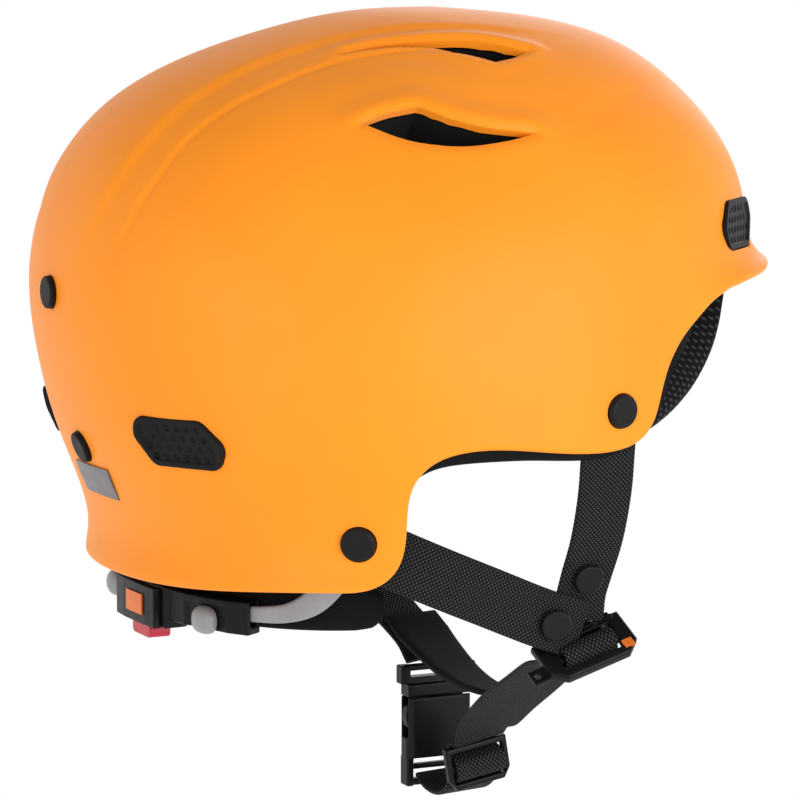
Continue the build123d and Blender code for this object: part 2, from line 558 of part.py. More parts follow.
for name, shape in PARTS.items():
    export_step(shape, "parts/" + name + ".step")
print(len(PARTS), "nodes")
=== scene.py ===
import json
import math

import bmesh
import bpy
import numpy as np
from mathutils import Matrix, Vector


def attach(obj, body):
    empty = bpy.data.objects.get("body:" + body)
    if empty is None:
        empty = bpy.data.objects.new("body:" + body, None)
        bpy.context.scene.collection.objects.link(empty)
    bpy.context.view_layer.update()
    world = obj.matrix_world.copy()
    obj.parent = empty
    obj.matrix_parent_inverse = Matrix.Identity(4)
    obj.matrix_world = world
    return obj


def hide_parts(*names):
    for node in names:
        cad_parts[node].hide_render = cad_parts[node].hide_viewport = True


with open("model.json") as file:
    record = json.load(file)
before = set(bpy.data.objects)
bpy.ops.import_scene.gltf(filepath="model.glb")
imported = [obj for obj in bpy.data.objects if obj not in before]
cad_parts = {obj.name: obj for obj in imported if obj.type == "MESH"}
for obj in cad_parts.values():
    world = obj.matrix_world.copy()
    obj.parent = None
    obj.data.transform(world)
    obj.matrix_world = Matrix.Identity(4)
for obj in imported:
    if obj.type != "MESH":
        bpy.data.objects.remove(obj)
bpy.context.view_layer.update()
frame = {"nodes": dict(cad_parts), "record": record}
NODES = frame["nodes"]
MM = 0.001

# ---------------------------------------------------------------- camera, light
back = Vector((-0.8996, 0.4195, 0.1219)).normalized()
cam_data = bpy.data.cameras.new("camera")
cam_data.sensor_width = 36.0
cam_data.lens = 36.0 * 3718 / 800
cam = bpy.data.objects.new("camera", cam_data)
bpy.context.scene.collection.objects.link(cam)
cam.location = Vector((0.0, -0.0054, 0.053)) + back * 1.3
cam.rotation_mode = "QUATERNION"
cam.rotation_quaternion = (-back).to_track_quat("-Z", "Y")
cam_data.clip_start, cam_data.clip_end = 0.01, 50
bpy.context.scene.camera = cam
bpy.context.scene.view_settings.view_transform = "Standard"


def area(name, loc, target, size, power, colour=(1, 1, 1)):
    d = bpy.data.lights.new(name, "AREA")
    d.shape = "DISK"
    d.size = size
    d.energy = power
    d.color = colour
    o = bpy.data.objects.new(name, d)
    bpy.context.scene.collection.objects.link(o)
    o.location = loc
    o.rotation_mode = "QUATERNION"
    o.rotation_quaternion = (Vector(target) - Vector(loc)).to_track_quat("-Z", "Y")
    return o


area("key", (-1.35, -0.55, 0.22), (0, 0, 0.05), 0.9, 8.0)
area("fill", (-0.9, 1.2, 0.10), (0, 0, 0.04), 1.0, 3.4)
area("rim", (1.1, -0.9, 0.6), (0, 0, 0.08), 0.9, 3.0)
area("under", (-0.7, -0.2, -0.02), (0, -0.02, -0.03), 0.35, 0.4)

world = bpy.data.worlds.new("studio")
bpy.context.scene.world = world
world.use_nodes = True
sky = world.node_tree
sky.nodes["Background"].inputs["Strength"].default_value = 1.0
sky_at = sky.nodes.new("ShaderNodeTexCoord")
sky_z = sky.nodes.new("ShaderNodeSeparateXYZ")
sky_ramp = sky.nodes.new("ShaderNodeValToRGB")
sky.links.new(sky_at.outputs["Generated"], sky_z.inputs[0])
sky.links.new(sky_z.outputs["Z"], sky_ramp.inputs["Fac"])
sky.links.new(sky_ramp.outputs["Color"], sky.nodes["Background"].inputs["Color"])
sky_ramp.color_ramp.elements[0].position = 0.22
sky_ramp.color_ramp.elements[0].color = (1.0, 1.0, 1.0, 1)
sky_ramp.color_ramp.elements[1].position = 0.80
sky_ramp.color_ramp.elements[1].color = (0.46, 0.46, 0.46, 1)


# ---------------------------------------------------------------- materials
class Mat:
    """Small helper around one Principled material."""

    def __init__(self, name, colour, rough, **sockets):
        self.m = bpy.data.materials.new(name)
        self.m.use_nodes = True
        self.nt = self.m.node_tree
        self.b = self.nt.nodes["Principled BSDF"]
        self.b.inputs["Base Color"].default_value = (*colour, 1)
        self.b.inputs["Roughness"].default_value = rough
        for k, v in sockets.items():
            self.b.inputs[k.replace("_", " ")].default_value = v

    def node(self, kind, **props):
        n = self.nt.nodes.new(kind)
        for k, v in props.items():
            setattr(n, k, v)
        return n

    def link(self, a, b):
        self.nt.links.new(a, b)

    def math(self, op, a, b=None, clamp=False):
        n = self.node("ShaderNodeMath", operation=op, use_clamp=clamp)
        for i, v in enumerate((a, b)):
            if v is None:
                continue
            if isinstance(v, (int, float)):
                n.inputs[i].default_value = v
            else:
                self.link(v, n.inputs[i])
        return n.outputs[0]

    def coords(self):
        return self.node("ShaderNodeTexCoord").outputs["Object"]

    def noise(self, scale, detail=3.0, rough=0.5, vector=None):
        n = self.node("ShaderNodeTexNoise")
        n.inputs["Scale"].default_value = scale
        n.inputs["Detail"].default_value = detail
        n.inputs["Roughness"].default_value = rough
        self.link(vector or self.coords(), n.inputs["Vector"])
        return n.outputs["Fac"]

    def ramp(self, fac, stops):
        n = self.node("ShaderNodeValToRGB")
        e = n.color_ramp.elements
        while len(e) < len(stops):
            e.new(0.5)
        for el, (p, c) in zip(e, stops):
            el.position = p
            el.color = (*c, 1)
        self.link(fac, n.inputs["Fac"])
        return n.outputs["Color"]

    def base(self, col):
        self.link(col, self.b.inputs["Base Color"])

    def rough(self, fac, lo, hi):
        n = self.node("ShaderNodeMapRange")
        n.inputs["To Min"].default_value = lo
        n.inputs["To Max"].default_value = hi
        self.link(fac, n.inputs["Value"])
        self.link(n.outputs["Result"], self.b.inputs["Roughness"])

    def bump(self, height, distance, strength=1.0, after=None):
        n = self.node("ShaderNodeBump")
        n.inputs["Strength"].default_value = strength
        n.inputs["Distance"].default_value = distance
        self.link(height, n.inputs["Height"])
        if after is not None:
            self.link(after, n.inputs["Normal"])
        self.link(n.outputs["Normal"], self.b.inputs["Normal"])
        return n.outputs["Normal"]


def plastic(name, colour, rough, grain=0.00004, scale=1400.0, vary=0.12):
    m = Mat(name, colour, rough)
    if max(colour) < 0.05:
        m.b.inputs["Specular IOR Level"].default_value = 0.14
    lo = tuple(c * (1 - vary) for c in colour)
    hi = tuple(min(1, c * (1 + vary)) for c in colour)
    m.base(m.ramp(m.noise(90, 4), [(0.3, lo), (0.7, hi)]))
    m.rough(m.noise(260, 4), rough - 0.06, rough + 0.08)
    m.bump(m.noise(scale, 2), grain, 0.6)
    return m.m


def shell_material():
    m = Mat("shell_satin", (0.98, 0.29, 0.011), 0.42)
    m.b.inputs["Specular IOR Level"].default_value = 0.22
    m.base(m.ramp(m.noise(22, 3), [(0.3, (0.96, 0.278, 0.009)), (0.7, (0.99, 0.300, 0.013))]))
    m.rough(m.noise(420, 5), 0.40, 0.48)
    n1 = m.bump(m.noise(2200, 2), 0.000018, 0.6)
    m.bump(m.noise(60, 2), 0.00008, 0.25, after=n1)
    return m.m


def weave_material(name, dark, raised_highlight, pitch_u, pitch_v, depth, rough=0.72):
    """Plain weave from the piece's own UV, which is in metres along and across; the raised thread dots are coloured
    lighter than the gaps, a painted highlight over the weave pattern.
    """
    m = Mat(name, dark, rough)
    uv = m.node("ShaderNodeUVMap").outputs["UV"]
    sep = m.node("ShaderNodeSeparateXYZ")
    m.link(uv, sep.inputs[0])
    wob = m.noise(900, 1)
    u = m.math("MULTIPLY", sep.outputs["X"], 2 * math.pi / pitch_u)
    v = m.math("MULTIPLY", sep.outputs["Y"], 2 * math.pi / pitch_v)
    u = m.math("ADD", u, m.math("MULTIPLY", wob, 0.9))
    p = m.math("MULTIPLY", m.math("SINE", u), m.math("SINE", v))
    p = m.math("ADD", m.math("MULTIPLY", p, 0.5), 0.5)
    dots = m.math("POWER", p, 3.0)
    rib = m.math("ADD", m.math("MULTIPLY", m.math("SINE", m.math("MULTIPLY", v, 2.0)), 0.25), 0.25)
    h = m.math("ADD", dots, rib)
    # painted highlight: base colour follows the bump height, so the raised dots are lighter and the gaps darker
    m.base(m.ramp(dots, [(0.10, dark), (0.75, raised_highlight)]))
    m.bump(h, depth, 0.9)
    m.b.inputs["Specular IOR Level"].default_value = 0.10
    m.b.inputs["Sheen Weight"].default_value = 0.01
    m.b.inputs["Sheen Roughness"].default_value = 0.4
    return m.m


def foam_material(name, colour):
    m = Mat(name, colour, 0.78)
    m.b.inputs["Specular IOR Level"].default_value = 0.10
    v = m.node("ShaderNodeTexVoronoi")
    v.inputs["Scale"].default_value = 420
    m.link(m.coords(), v.inputs["Vector"])
    m.base(m.ramp(m.noise(70, 4), [(0.3, tuple(c * 0.75 for c in colour)), (0.7, tuple(c * 1.35 for c in colour))]))
    n1 = m.bump(v.outputs["Distance"], 0.00015, 0.45)
    m.bump(m.noise(1800, 2), 0.00005, 0.5, after=n1)
    return m.m


def mesh_material(name, dark, raised_highlight, pitch):
    """Spacer mesh: a staggered grid of small round openings, from the piece's UV in metres; the openings are coloured
    dark and the tops between them lighter, painted shade and painted highlight over the mesh pattern.
    """
    m = Mat(name, dark, 0.85)
    m.b.inputs["Specular IOR Level"].default_value = 0.10
    uv = m.node("ShaderNodeUVMap").outputs["UV"]
    sep = m.node("ShaderNodeSeparateXYZ")
    m.link(uv, sep.inputs[0])
    k = 2 * math.pi / pitch
    a = m.math("MULTIPLY", m.math("ADD", sep.outputs["X"], sep.outputs["Y"]), k * 0.7071)
    b = m.math("MULTIPLY", m.math("SUBTRACT", sep.outputs["X"], sep.outputs["Y"]), k * 0.7071)
    p = m.math("ADD", m.math("MULTIPLY", m.math("SINE", a), 0.25), m.math("MULTIPLY", m.math("SINE", b), 0.25))
    p = m.math("ADD", p, 0.5)
    # painted shade in the openings and painted highlight on the tops: base colour follows the bump height
    m.base(m.ramp(p, [(0.55, dark), (0.95, raised_highlight)]))
    m.bump(p, 0.00022, 0.9)
    m.b.inputs["Sheen Weight"].default_value = 0.04
    return m.m


M_SHELL = shell_material()
M_FOAM = foam_material("liner_foam", (0.006, 0.006, 0.0065))
# the second colour of pad_mesh, webbing_weave and guard_fabric is a painted highlight on the raised tops
M_MESH = mesh_material("pad_mesh", (0.006, 0.006, 0.007), (0.055, 0.055, 0.06), 0.0022)
M_WEB = weave_material("webbing_weave", (0.004, 0.004, 0.0045), (0.070, 0.070, 0.072), 0.0016, 0.0016, 0.00022)
M_GUARD = weave_material("guard_fabric", (0.005, 0.005, 0.0055), (0.014, 0.014, 0.015), 0.0007, 0.0007, 0.00008, 0.8)
M_BLACK = plastic("moulded_black", (0.006, 0.006, 0.0065), 0.36)
M_PLUG = plastic("plug_rubber", (0.0065, 0.0065, 0.0065), 0.5)
M_CAP = plastic("cap_black", (0.009, 0.009, 0.0095), 0.42)
M_GREY = plastic("moulded_grey", (0.27, 0.265, 0.275), 0.42)
M_RED = plastic("moulded_red", (0.50, 0.008, 0.03), 0.38)
M_ORANGE = plastic("printed_orange", (0.80, 0.17, 0.012), 0.45)
M_LABEL = plastic("label_satin", (0.13, 0.115, 0.125), 0.35, grain=0.00001)
M_STEEL = plastic("washer_metal", (0.55, 0.55, 0.56), 0.28)
M_STEEL.node_tree.nodes["Principled BSDF"].inputs["Metallic"].default_value = 1.0
# second colour: painted highlight on the raised threads
M_BAND = weave_material("band_fabric", (0.005, 0.005, 0.0055), (0.012, 0.012, 0.013), 0.0011, 0.0011, 0.00012, 0.85)


# ---------------------------------------------------------------- surface maths
PROFILE = np.array([
    (188.8, -17.0, 0.0, 0.0), (186.9, -18.0, 30.6, 20.5), (181.5, -17.6, 56.5, 40.5),
    (172.7, -12.8, 79.1, 59.0), (160.8, -8.0, 98.0, 75.5), (146.0, -5.9, 112.0, 89.5),
    (128.9, -4.2, 120.9, 99.5), (110.0, -2.1, 124.5, 106.0), (89.9, -1.0, 124.0, 109.3),
    (69.1, -1.6, 121.3, 110.0), (48.2, -3.0, 117.0, 108.6), (27.3, -5.8, 111.6, 106.8),
    (0.0, -9.5, 106.5, 104.5), (-20.0, -12.0, 103.0, 103.0)])
SHELL_RIM = [(-165, 103.5), (-140, 103.2), (-126, 102.4), (-112, 101.0), (-104, 100.2), (-97.8, 99.4), (-92.7, 98.5),
             (-88.3, 97.7), (-82.7, 95.7), (-78.1, 93.5), (-74.0, 90.5), (-70.0, 87.2), (-61.5, 79.4),
             (-56.2, 71.6), (-52.8, 61.5), (-50.6, 55.0), (-46.5, 50.0),
             (-38, 46.8), (-24, 46.2), (-6, 47.9), (10, 49.4), (22, 48.8), (31.5, 45.4),
             (37.0, 39.0), (38.6, 30.0), (38.6, 20.0), (41.0, 11.0), (48, 5.4), (62, 3.4),
             (80, 2.4), (100, 0.3), (140, -1.0)]
LINER_RIM = [(-165, 105), (-128, 104), (-112, 102.0), (-101, 98.5), (-88, 93.5), (-78, 86.5),
             (-70.0, 77.0), (-64.5, 70.0), (-60.5, 62.0), (-56.5, 54.0), (-49, 47.0),
             (-38, 43.2), (-22, 42.6), (-6, 43.6), (10, 43.8), (22, 43.2), (31.5, 41.0),
             (38.0, 36.0), (40.8, 29.0), (41.2, 20.0), (44.0, 12.5), (50, 8.2), (62, 6.4),
             (80, 5.6), (100, 4.6), (140, 4.0)]
TEMPLE_RIM = [(-165, 104), (-120, 101), (-104, 96.0), (-97.5, 88.5), (-94.6, 82.0), (-91.0, 75.5),
              (-85.3, 68.6), (-77.5, 61.4), (-68.5, 55.4), (-58.6, 50.6), (-50, 47.6), (-40, 47.0)]
POWER = 2.2
KNOT = np.array([0, 10, 20, 30, 40, 50, 60, 70, 80, 90, 100, 110, 122, 131.0])


def natural(t, y):
    n = len(t)
    h = np.diff(t)
    A, r = np.zeros((n, n)), np.zeros(n)
    A[0, 0] = A[-1, -1] = 1.0
    for i in range(1, n - 1):
        A[i, i - 1], A[i, i], A[i, i + 1] = h[i - 1], 2 * (h[i - 1] + h[i]), h[i]
        r[i] = 6 * ((y[i + 1] - y[i]) / h[i] - (y[i] - y[i - 1]) / h[i - 1])
    return np.linalg.solve(A, r)


def cubic(knot, y, m, t):
    t = np.asarray(t, float)
    i = np.clip(np.searchsorted(knot, t) - 1, 0, len(knot) - 2)
    h = knot[i + 1] - knot[i]
    a, b = (knot[i + 1] - t) / h, (t - knot[i]) / h
    return a * y[i] + b * y[i + 1] + ((a ** 3 - a) * m[i] + (b ** 3 - b) * m[i + 1]) * h * h / 6


CURV = [natural(KNOT, PROFILE[:, k]) for k in range(4)]


def prof(k, t):
    return cubic(KNOT, PROFILE[:, k], CURV[k], t)


def smooth(x):
    x = np.clip(x, 0, 1)
    return x * x * (3 - 2 * x)


def flare(phi, z):
    f = 24.0 * smooth((-np.cos(phi) - 0.45) / 0.55) * np.exp(-((z - 91) / 11) ** 2)
    r = 6.48 * smooth((np.cos(phi) - 0.05) / 0.5) * np.exp(-((z + 4) / 13) ** 2)
    return f + r


def surf(phi, t, lip=1.0):
    """Outer surface in mm at bearing phi (0 rear, pi front, positive towards +X)."""
    phi, t = np.broadcast_arrays(np.asarray(phi, float), np.asarray(t, float))
    z, yc, a, b = (prof(k, t) for k in range(4))
    c, s = np.cos(phi), np.sin(phi)
    e = 2 / POWER
    x = np.sign(s) * np.abs(s) ** e * b
    y = np.sign(c) * np.abs(c) ** e * a
    r = np.maximum(np.hypot(x, y), 1e-6)
    k = 1 + lip * flare(phi, z) / r
    return np.stack([x * k, yc + y * k, z], -1)


T_TAB = np.linspace(0, 131, 1400)
Z_TAB = prof(0, T_TAB)


def t_of_z(z):
    return np.interp(-np.asarray(z, float), -Z_TAB, T_TAB)


def phi_of_y(y, t, lip):
    """Bearing in 0..pi where the surface at t has that Y."""
    lo, hi = np.zeros_like(t), np.full_like(t, math.pi)
    for _ in range(46):
        mid = (lo + hi) / 2
        big = surf(mid, t, lip)[..., 1] > y
        lo = np.where(big, mid, lo)
        hi = np.where(big, hi, mid)
    return (lo + hi) / 2


def rim_line(points, count, lip):
    """Bearing and t of evenly spaced points of a rim line on the surface, front to rear."""
    p = np.array(points, float)
    u = np.concatenate([[0], np.cumsum(np.hypot(*np.diff(p, axis=0).T))])
    f = np.linspace(0, u[-1], 5000)
    y = cubic(u, p[:, 0], natural(u, p[:, 0]), f)
    z = cubic(u, p[:, 1], natural(u, p[:, 1]), f)
    t = t_of_z(z)
    ok = (y > surf(math.pi, t, lip)[:, 1]) & (y < surf(0.0, t, lip)[:, 1])
    y, t = y[ok], t[ok]
    phi = phi_of_y(y, t, lip)
    phi[0], phi[-1] = math.pi, 0.0
    q = surf(phi, t, lip)
    s = np.concatenate([[0], np.cumsum(np.linalg.norm(np.diff(q, axis=0), axis=1))])
    g = np.linspace(0, s[-1], count)
    return np.interp(g, s, phi), np.interp(g, s, t), g / s[-1]


def grid_normals(P):
    """Unit normals of a grid closed along its columns (axis 1)."""
    dc = np.roll(P, -1, 1) - np.roll(P, 1, 1)
    dr = np.gradient(P, axis=0)
    n = np.cross(dc, dr)
    ln = np.linalg.norm(n, axis=2, keepdims=True)
    n = n / np.maximum(ln, 1e-9)
    c = P.mean((0, 1))
    if np.sum(n * (P - c)) < 0:
        n = -n
    n[-1] = (0, 0, 1)
    return n


def cap_grid(rim, half, rows, lip, start=0.0):
    """Grid from the rim (row 0) to near the crown, mirrored across the centre plane."""
    phi_r, t_r, s = rim_line(rim, half, lip)
    reg = math.pi * (1 - s)
    reg = np.minimum(reg, phi_r * 0.30 + reg * 0.70)
    w = np.linspace(start, 1, rows)[:, None]
    w = w[:-1]
    phi = phi_r[None] + (reg - phi_r)[None] * w
    t = t_r[None] * (1 - w)
    P = surf(phi, t, lip)
    mirror = P[:, -2:0:-1] * np.array([-1, 1, 1])
    full = np.concatenate([P, mirror], 1)
    ph = np.concatenate([phi, -phi[:, -2:0:-1]], 1)
    tt = np.concatenate([t, t[:, -2:0:-1]], 1)
    return full, ph, tt


def new_object(name, verts, faces, mat, smooth_angle=40.0, uvs=None):
    me = bpy.data.meshes.new(name)
    me.from_pydata([tuple(v) for v in np.asarray(verts, float) * MM], [], faces)
    if uvs is not None:
        layer = me.uv_layers.new(name="UVMap")
        idx = np.zeros(len(me.loops), np.int32)
        me.loops.foreach_get("vertex_index", idx)
        layer.data.foreach_set("uv", (np.asarray(uvs, float)[idx] * MM).astype(np.float32).ravel())
    me.validate()
    o = bpy.data.objects.new(name, me)
    bpy.context.scene.collection.objects.link(o)
    if mat is not None:
        me.materials.append(mat)
    shade(o, smooth_angle)
    return o


def shade(o, angle=40.0):
    me = o.data
    me.polygons.foreach_set("use_smooth", [True] * len(me.polygons))
    me.update()
    if angle < 180:
        me.set_sharp_from_angle(angle=math.radians(angle))


def fix_normals(o):
    bm = bmesh.new()
    bm.from_mesh(o.data)
    bmesh.ops.recalc_face_normals(bm, faces=bm.faces)
    bm.to_mesh(o.data)
    bm.free()


def thick_cap(name, P_out, P_in, mat, round_steps=6, bulge=1.0, smooth_angle=40.0, pole_out=None, pole_in=None):
    """Closed shell from an outer and an inner grid whose row 0 is the rim, with a rounded rim."""
    rows, cols = P_out.shape[:2]
    rows_i = P_in.shape[0]
    ring_o, ring_i = P_out[0], P_in[0]
    down = P_out[0] - P_out[1]
    down /= np.maximum(np.linalg.norm(down, axis=1, keepdims=True), 1e-9)
    C = (ring_o + ring_i) / 2
    H = (ring_o - ring_i) / 2
    r = np.linalg.norm(H, axis=1, keepdims=True)
    strip = []
    for k in range(1, round_steps):
        a = math.pi * k / round_steps
        strip.append(C + H * math.cos(a) + down * r * math.sin(a) * bulge)
    verts = [P_out.reshape(-1, 3), np.array(strip).reshape(-1, 3) if strip else np.zeros((0, 3)), P_in.reshape(-1, 3)]
    n_strip = len(strip)
    off_s = rows * cols
    off_i = off_s + n_strip * cols
    faces = []

    def ring(base_a, base_b, flip=False):
        for j in range(cols):
            k = (j + 1) % cols
            f = (base_a + j, base_a + k, base_b + k, base_b + j)
            faces.append(f[::-1] if flip else f)
    for i in range(rows - 1):
        ring(i * cols, (i + 1) * cols)
    prev = 0
    for k in range(n_strip):
        ring(off_s + k * cols, prev)
        prev = off_s + k * cols
    ring(off_i, prev)
    for i in range(rows_i - 1):
        ring(off_i + (i + 1) * cols, off_i + i * cols)
    v = np.concatenate(verts)
    po = len(v)
    extra = [P_out[-1].mean(0) if pole_out is None else pole_out, P_in[-1].mean(0) if pole_in is None else pole_in]
    v = np.concatenate([v, np.array(extra)])
    for j in range(cols):
        k = (j + 1) % cols
        faces.append(((rows - 1) * cols + j, (rows - 1) * cols + k, po))
        faces.append((off_i + (rows_i - 1) * cols + k, off_i + (rows_i - 1) * cols + j, po + 1))
    o = new_object(name, v, faces, mat, 180)
    fix_normals(o)
    shade(o, smooth_angle)
    return o


# ---------------------------------------------------------------- shell features
def catmull(pts, per=8, closed=False):
    p = np.array(pts, float)
    n = len(p)
    out = []
    last = n if closed else n - 1
    for i in range(last):
        if closed:
            a, b, c, d = p[(i - 1) % n], p[i], p[(i + 1) % n], p[(i + 2) % n]
        else:
            b, c = p[i], p[i + 1]
            a = p[i - 1] if i else 2 * b - c
            d = p[i + 2] if i + 2 < n else 2 * c - b
        for k in range(per):
            u = k / per
            out.append(0.5 * ((2 * b) + (c - a) * u + (2 * a - 5 * b + 4 * c - d) * u * u + (3 * b - a - 3 * c + d) * u ** 3))
    if not closed:
        out.append(p[-1])
    return np.array(out)


def vent_outline(parts):
    out = []
    for seg in parts:
        c = catmull(seg, 6)
        out.extend(c[:-1])
    return np.array(out)


SIDE_VENT = vent_outline([
    [(-75, 43, 154), (-74.6, 33, 157.2), (-75, 23, 159)],
    [(-75, 23, 159), (-81, 13, 155), (-84.5, 1, 152), (-86, -14, 150)],
    [(-86, -14, 150), (-88, -3, 148), (-88.4, 12, 146.6), (-86, 25, 147.8), (-82, 34, 150), (-75, 43, 154)]])
TOP_VENT = vent_outline([
    [(-42, 34, 176), (-42.6, 20, 178.5), (-44, 7, 179.5), (-46, -12, 179), (-53, -28, 176)],
    [(-53, -28, 176), (-57, -21, 174.5), (-59, -13, 173)],
    [(-59, -13, 173), (-52, -2, 176), (-47.5, 9, 178), (-44, 22, 178), (-42, 34, 176)]])
VENT_DIR = {"side": np.array((-0.72, 0.05, 0.69)), "top": np.array((-0.42, 0.0, 0.91))}


def vent_frame(kind, outline):
    d = VENT_DIR[kind] / np.linalg.norm(VENT_DIR[kind])
    e1 = np.array((0.0, 1.0, 0.0)) - d * d[1]
    e1 /= np.linalg.norm(e1)
    e2 = np.cross(d, e1)
    if e2[2] < 0:
        e2 = -e2
    c = outline.mean(0)
    return d, e1, e2, c


def poly_distance(q, poly):
    """Signed distance of 2D points q to a closed polygon, positive outside, and the nearest point."""
    a, b = poly, np.roll(poly, -1, 0)
    ab = b - a
    best = np.full(len(q), 1e9)
    near = np.zeros_like(q)
    inside = np.zeros(len(q), bool)
    for i in range(len(a)):
        t = np.clip(((q - a[i]) @ ab[i]) / max(ab[i] @ ab[i], 1e-12), 0, 1)
        p = a[i] + t[:, None] * ab[i]
        dd = np.linalg.norm(q - p, axis=1)
        m = dd < best
        best[m], near[m] = dd[m], p[m]
        cross = ((a[i, 1] > q[:, 1]) != (b[i, 1] > q[:, 1]))
        xx = a[i, 0] + (q[:, 1] - a[i, 1]) / (ab[i, 1] if abs(ab[i, 1]) > 1e-12 else 1e-12) * ab[i, 0]
        inside ^= cross & (q[:, 0] < xx)
    return np.where(inside, -best, best), near


RIDGE = np.array([(-39, -30, 180), (-36, -8, 183), (-34, 10, 182), (-31, 57, 173), (-32, 80, 162), (-32, 99, 148), (-30, 111, 132), (-24, 120, 110)], float)
GROOVE = np.array([(-57, -26, 174), (-52, -4, 176), (-48, 20, 176), (-46, 41, 173), (-47, 64, 165), (-46, 77, 159), (-45, 91, 148), (-45, 102, 137), (-42.5, 112, 120), (-34, 119, 102)], float)


def path_angle(y, z):
    """Angle in the centre plane about a point inside the crown, growing towards the front."""
    return np.arctan2(z - 60.0, y + 10.0)


def line_x(line, ang):
    a = path_angle(line[:, 1], line[:, 2])
    k = np.argsort(a)
    return np.interp(ang, a[k], np.abs(line[k, 0]))


def features(P):
    """Raised centre band, its groove and the vent surrounds: outward displacement in mm."""
    q = P.reshape(-1, 3).copy()
    q[:, 0] = -np.abs(q[:, 0])
    ax = -q[:, 0]
    ang = path_angle(q[:, 1], q[:, 2])
    xr, xg = line_x(RIDGE, ang), line_x(GROOVE, ang)
    lo = path_angle(120.0, 98.0)
    hi = path_angle(-60.0, 178.0)
    fade = smooth((ang - lo) / 0.30) * (1 - smooth((ang - (hi - 0.55)) / 0.55))
    up = (q[:, 2] > 90).astype(float)
    band = 1.5 * (1 - smooth((ax - (xr - 3.0)) / 6.0))
    ledge = -0.55 * smooth((ax - xg + 1.2) / 1.8) * (1 - smooth((ax - xg - 1.5) / 16.0))
    groove = -0.45 * np.exp(-((ax - xg) / 1.25) ** 2)
    gfade = smooth((ang - lo - 0.02) / 0.22) * (1 - smooth((ang - path_angle(8, 178)) / 0.25))
    d = fade * band * up + gfade * (ledge + groove) * up
    for kind, outline, hu, hl, wide in (("side", SIDE_VENT, 1.25, 0.45, 13.0), ("top", TOP_VENT, 1.2, 0.55, 10.0)):
        dirn, e1, e2, c = vent_frame(kind, outline)
        rel = q - c
        near = (np.abs(rel @ dirn) < 26) & (np.linalg.norm(rel, axis=1) < 70)
        pts = np.stack([rel[near] @ e1, rel[near] @ e2], 1)
        poly = np.stack([(outline - c) @ e1, (outline - c) @ e2], 1)
        sd, nearest = poly_distance(pts, poly)
        side = pts[:, 1] - nearest[:, 1]
        upper = smooth((side / np.maximum(np.abs(sd), 0.3) + 0.45) / 0.9)
        h = hl + (hu - hl) * upper
        rise = smooth((sd + 0.4) / 3.6)
        fall = 1 - smooth((sd - 3.2) / wide)
        val = h * (rise * fall - np.where(sd < 0, 0.0, 0.0)) - 0.5 * (1 - smooth((sd + 0.2) / 2.2))
        tmp = np.zeros(len(q))
        tmp[near] = val * fall
        d = d + tmp
    # crease that runs forward and outward from the crown
    front = np.array([(-44, -92, 162), (-52, -80, 163), (-62, -64, 161), (-71, -52, 159), (-80, -42, 154)], float)
    seg = catmull(front, 8)
    best = np.full(len(q), 1e9)
    sgn = np.zeros(len(q))
    for i in range(len(seg) - 1):
        ab = seg[i + 1] - seg[i]
        t = np.clip(((q - seg[i]) @ ab) / (ab @ ab), 0, 1)
        r = q - (seg[i] + t[:, None] * ab)
        dd = np.linalg.norm(r, axis=1)
        m = dd < best
        best[m] = dd[m]
        sgn[m] = np.sign(r[m, 1] * 0.6 - r[m, 0] * 0.3 + r[m, 2] * 0.4)
    d = d - 0.35 * np.exp(-(best / 5.0) ** 2) * smooth((q[:, 2] - 150) / 6)
    return d.reshape(P.shape[:2])


def prism(outline, direction, up=14.0, down=26.0, mirror=False):
    """Closed prism over a planar-ish outline along direction."""
    d = np.array(direction, float)
    d /= np.linalg.norm(d)
    c = outline.mean(0)
    flat = outline - ((outline - c) @ d)[:, None] * d
    top, bot = flat + d * up, flat - d * down
    v = np.concatenate([top, bot])
    n = len(outline)
    f = [tuple(range(n)), tuple(range(2 * n - 1, n - 1, -1))]
    f += [((i + 1) % n, i, n + i, n + (i + 1) % n) for i in range(n)]
    if mirror:
        v = v * np.array([-1, 1, 1])
        f = [x[::-1] for x in f]
    return v, f


def disc_outline(p, n, r, count=40):
    n = np.array(n, float)
    n /= np.linalg.norm(n)
    a = np.cross((0, 0, 1.0), n)
    a /= np.linalg.norm(a)
    b = np.cross(n, a)
    t = np.linspace(0, 2 * math.pi, count, endpoint=False)
    return p + r * (np.cos(t)[:, None] * a + np.sin(t)[:, None] * b)


def surface_at(y, z, side):
    t = t_of_z(np.array([float(z)]))
    ph = phi_of_y(np.array([float(y)]), t, 1.0)
    return point_normal(ph[0] * side, t[0])


def rear_at(x, z):
    t = float(t_of_z(z))
    lo, hi = 0.0, math.pi / 2
    for _ in range(46):
        mid = (lo + hi) / 2
        if surf(mid, t)[0] < abs(x):
            lo = mid
        else:
            hi = mid
    return point_normal((lo + hi) / 2 * (1 if x >= 0 else -1), t)


def point_normal(phi, t, lip=1.0):
    h = 1e-3
    p = surf(phi, t, lip)
    if abs(phi) < 0.02:
        du = np.array((1.0, 0, 0))
    else:
        du = surf(phi + h, t, lip) - surf(phi - h, t, lip)
    dv = surf(phi, t + 0.05, lip) - surf(phi, t - 0.05, lip)
    n = np.cross(du, dv)
    n /= np.linalg.norm(n)
    if n @ (p - np.array((0, -10, 60.0))) < 0:
        n = -n
    return p, n


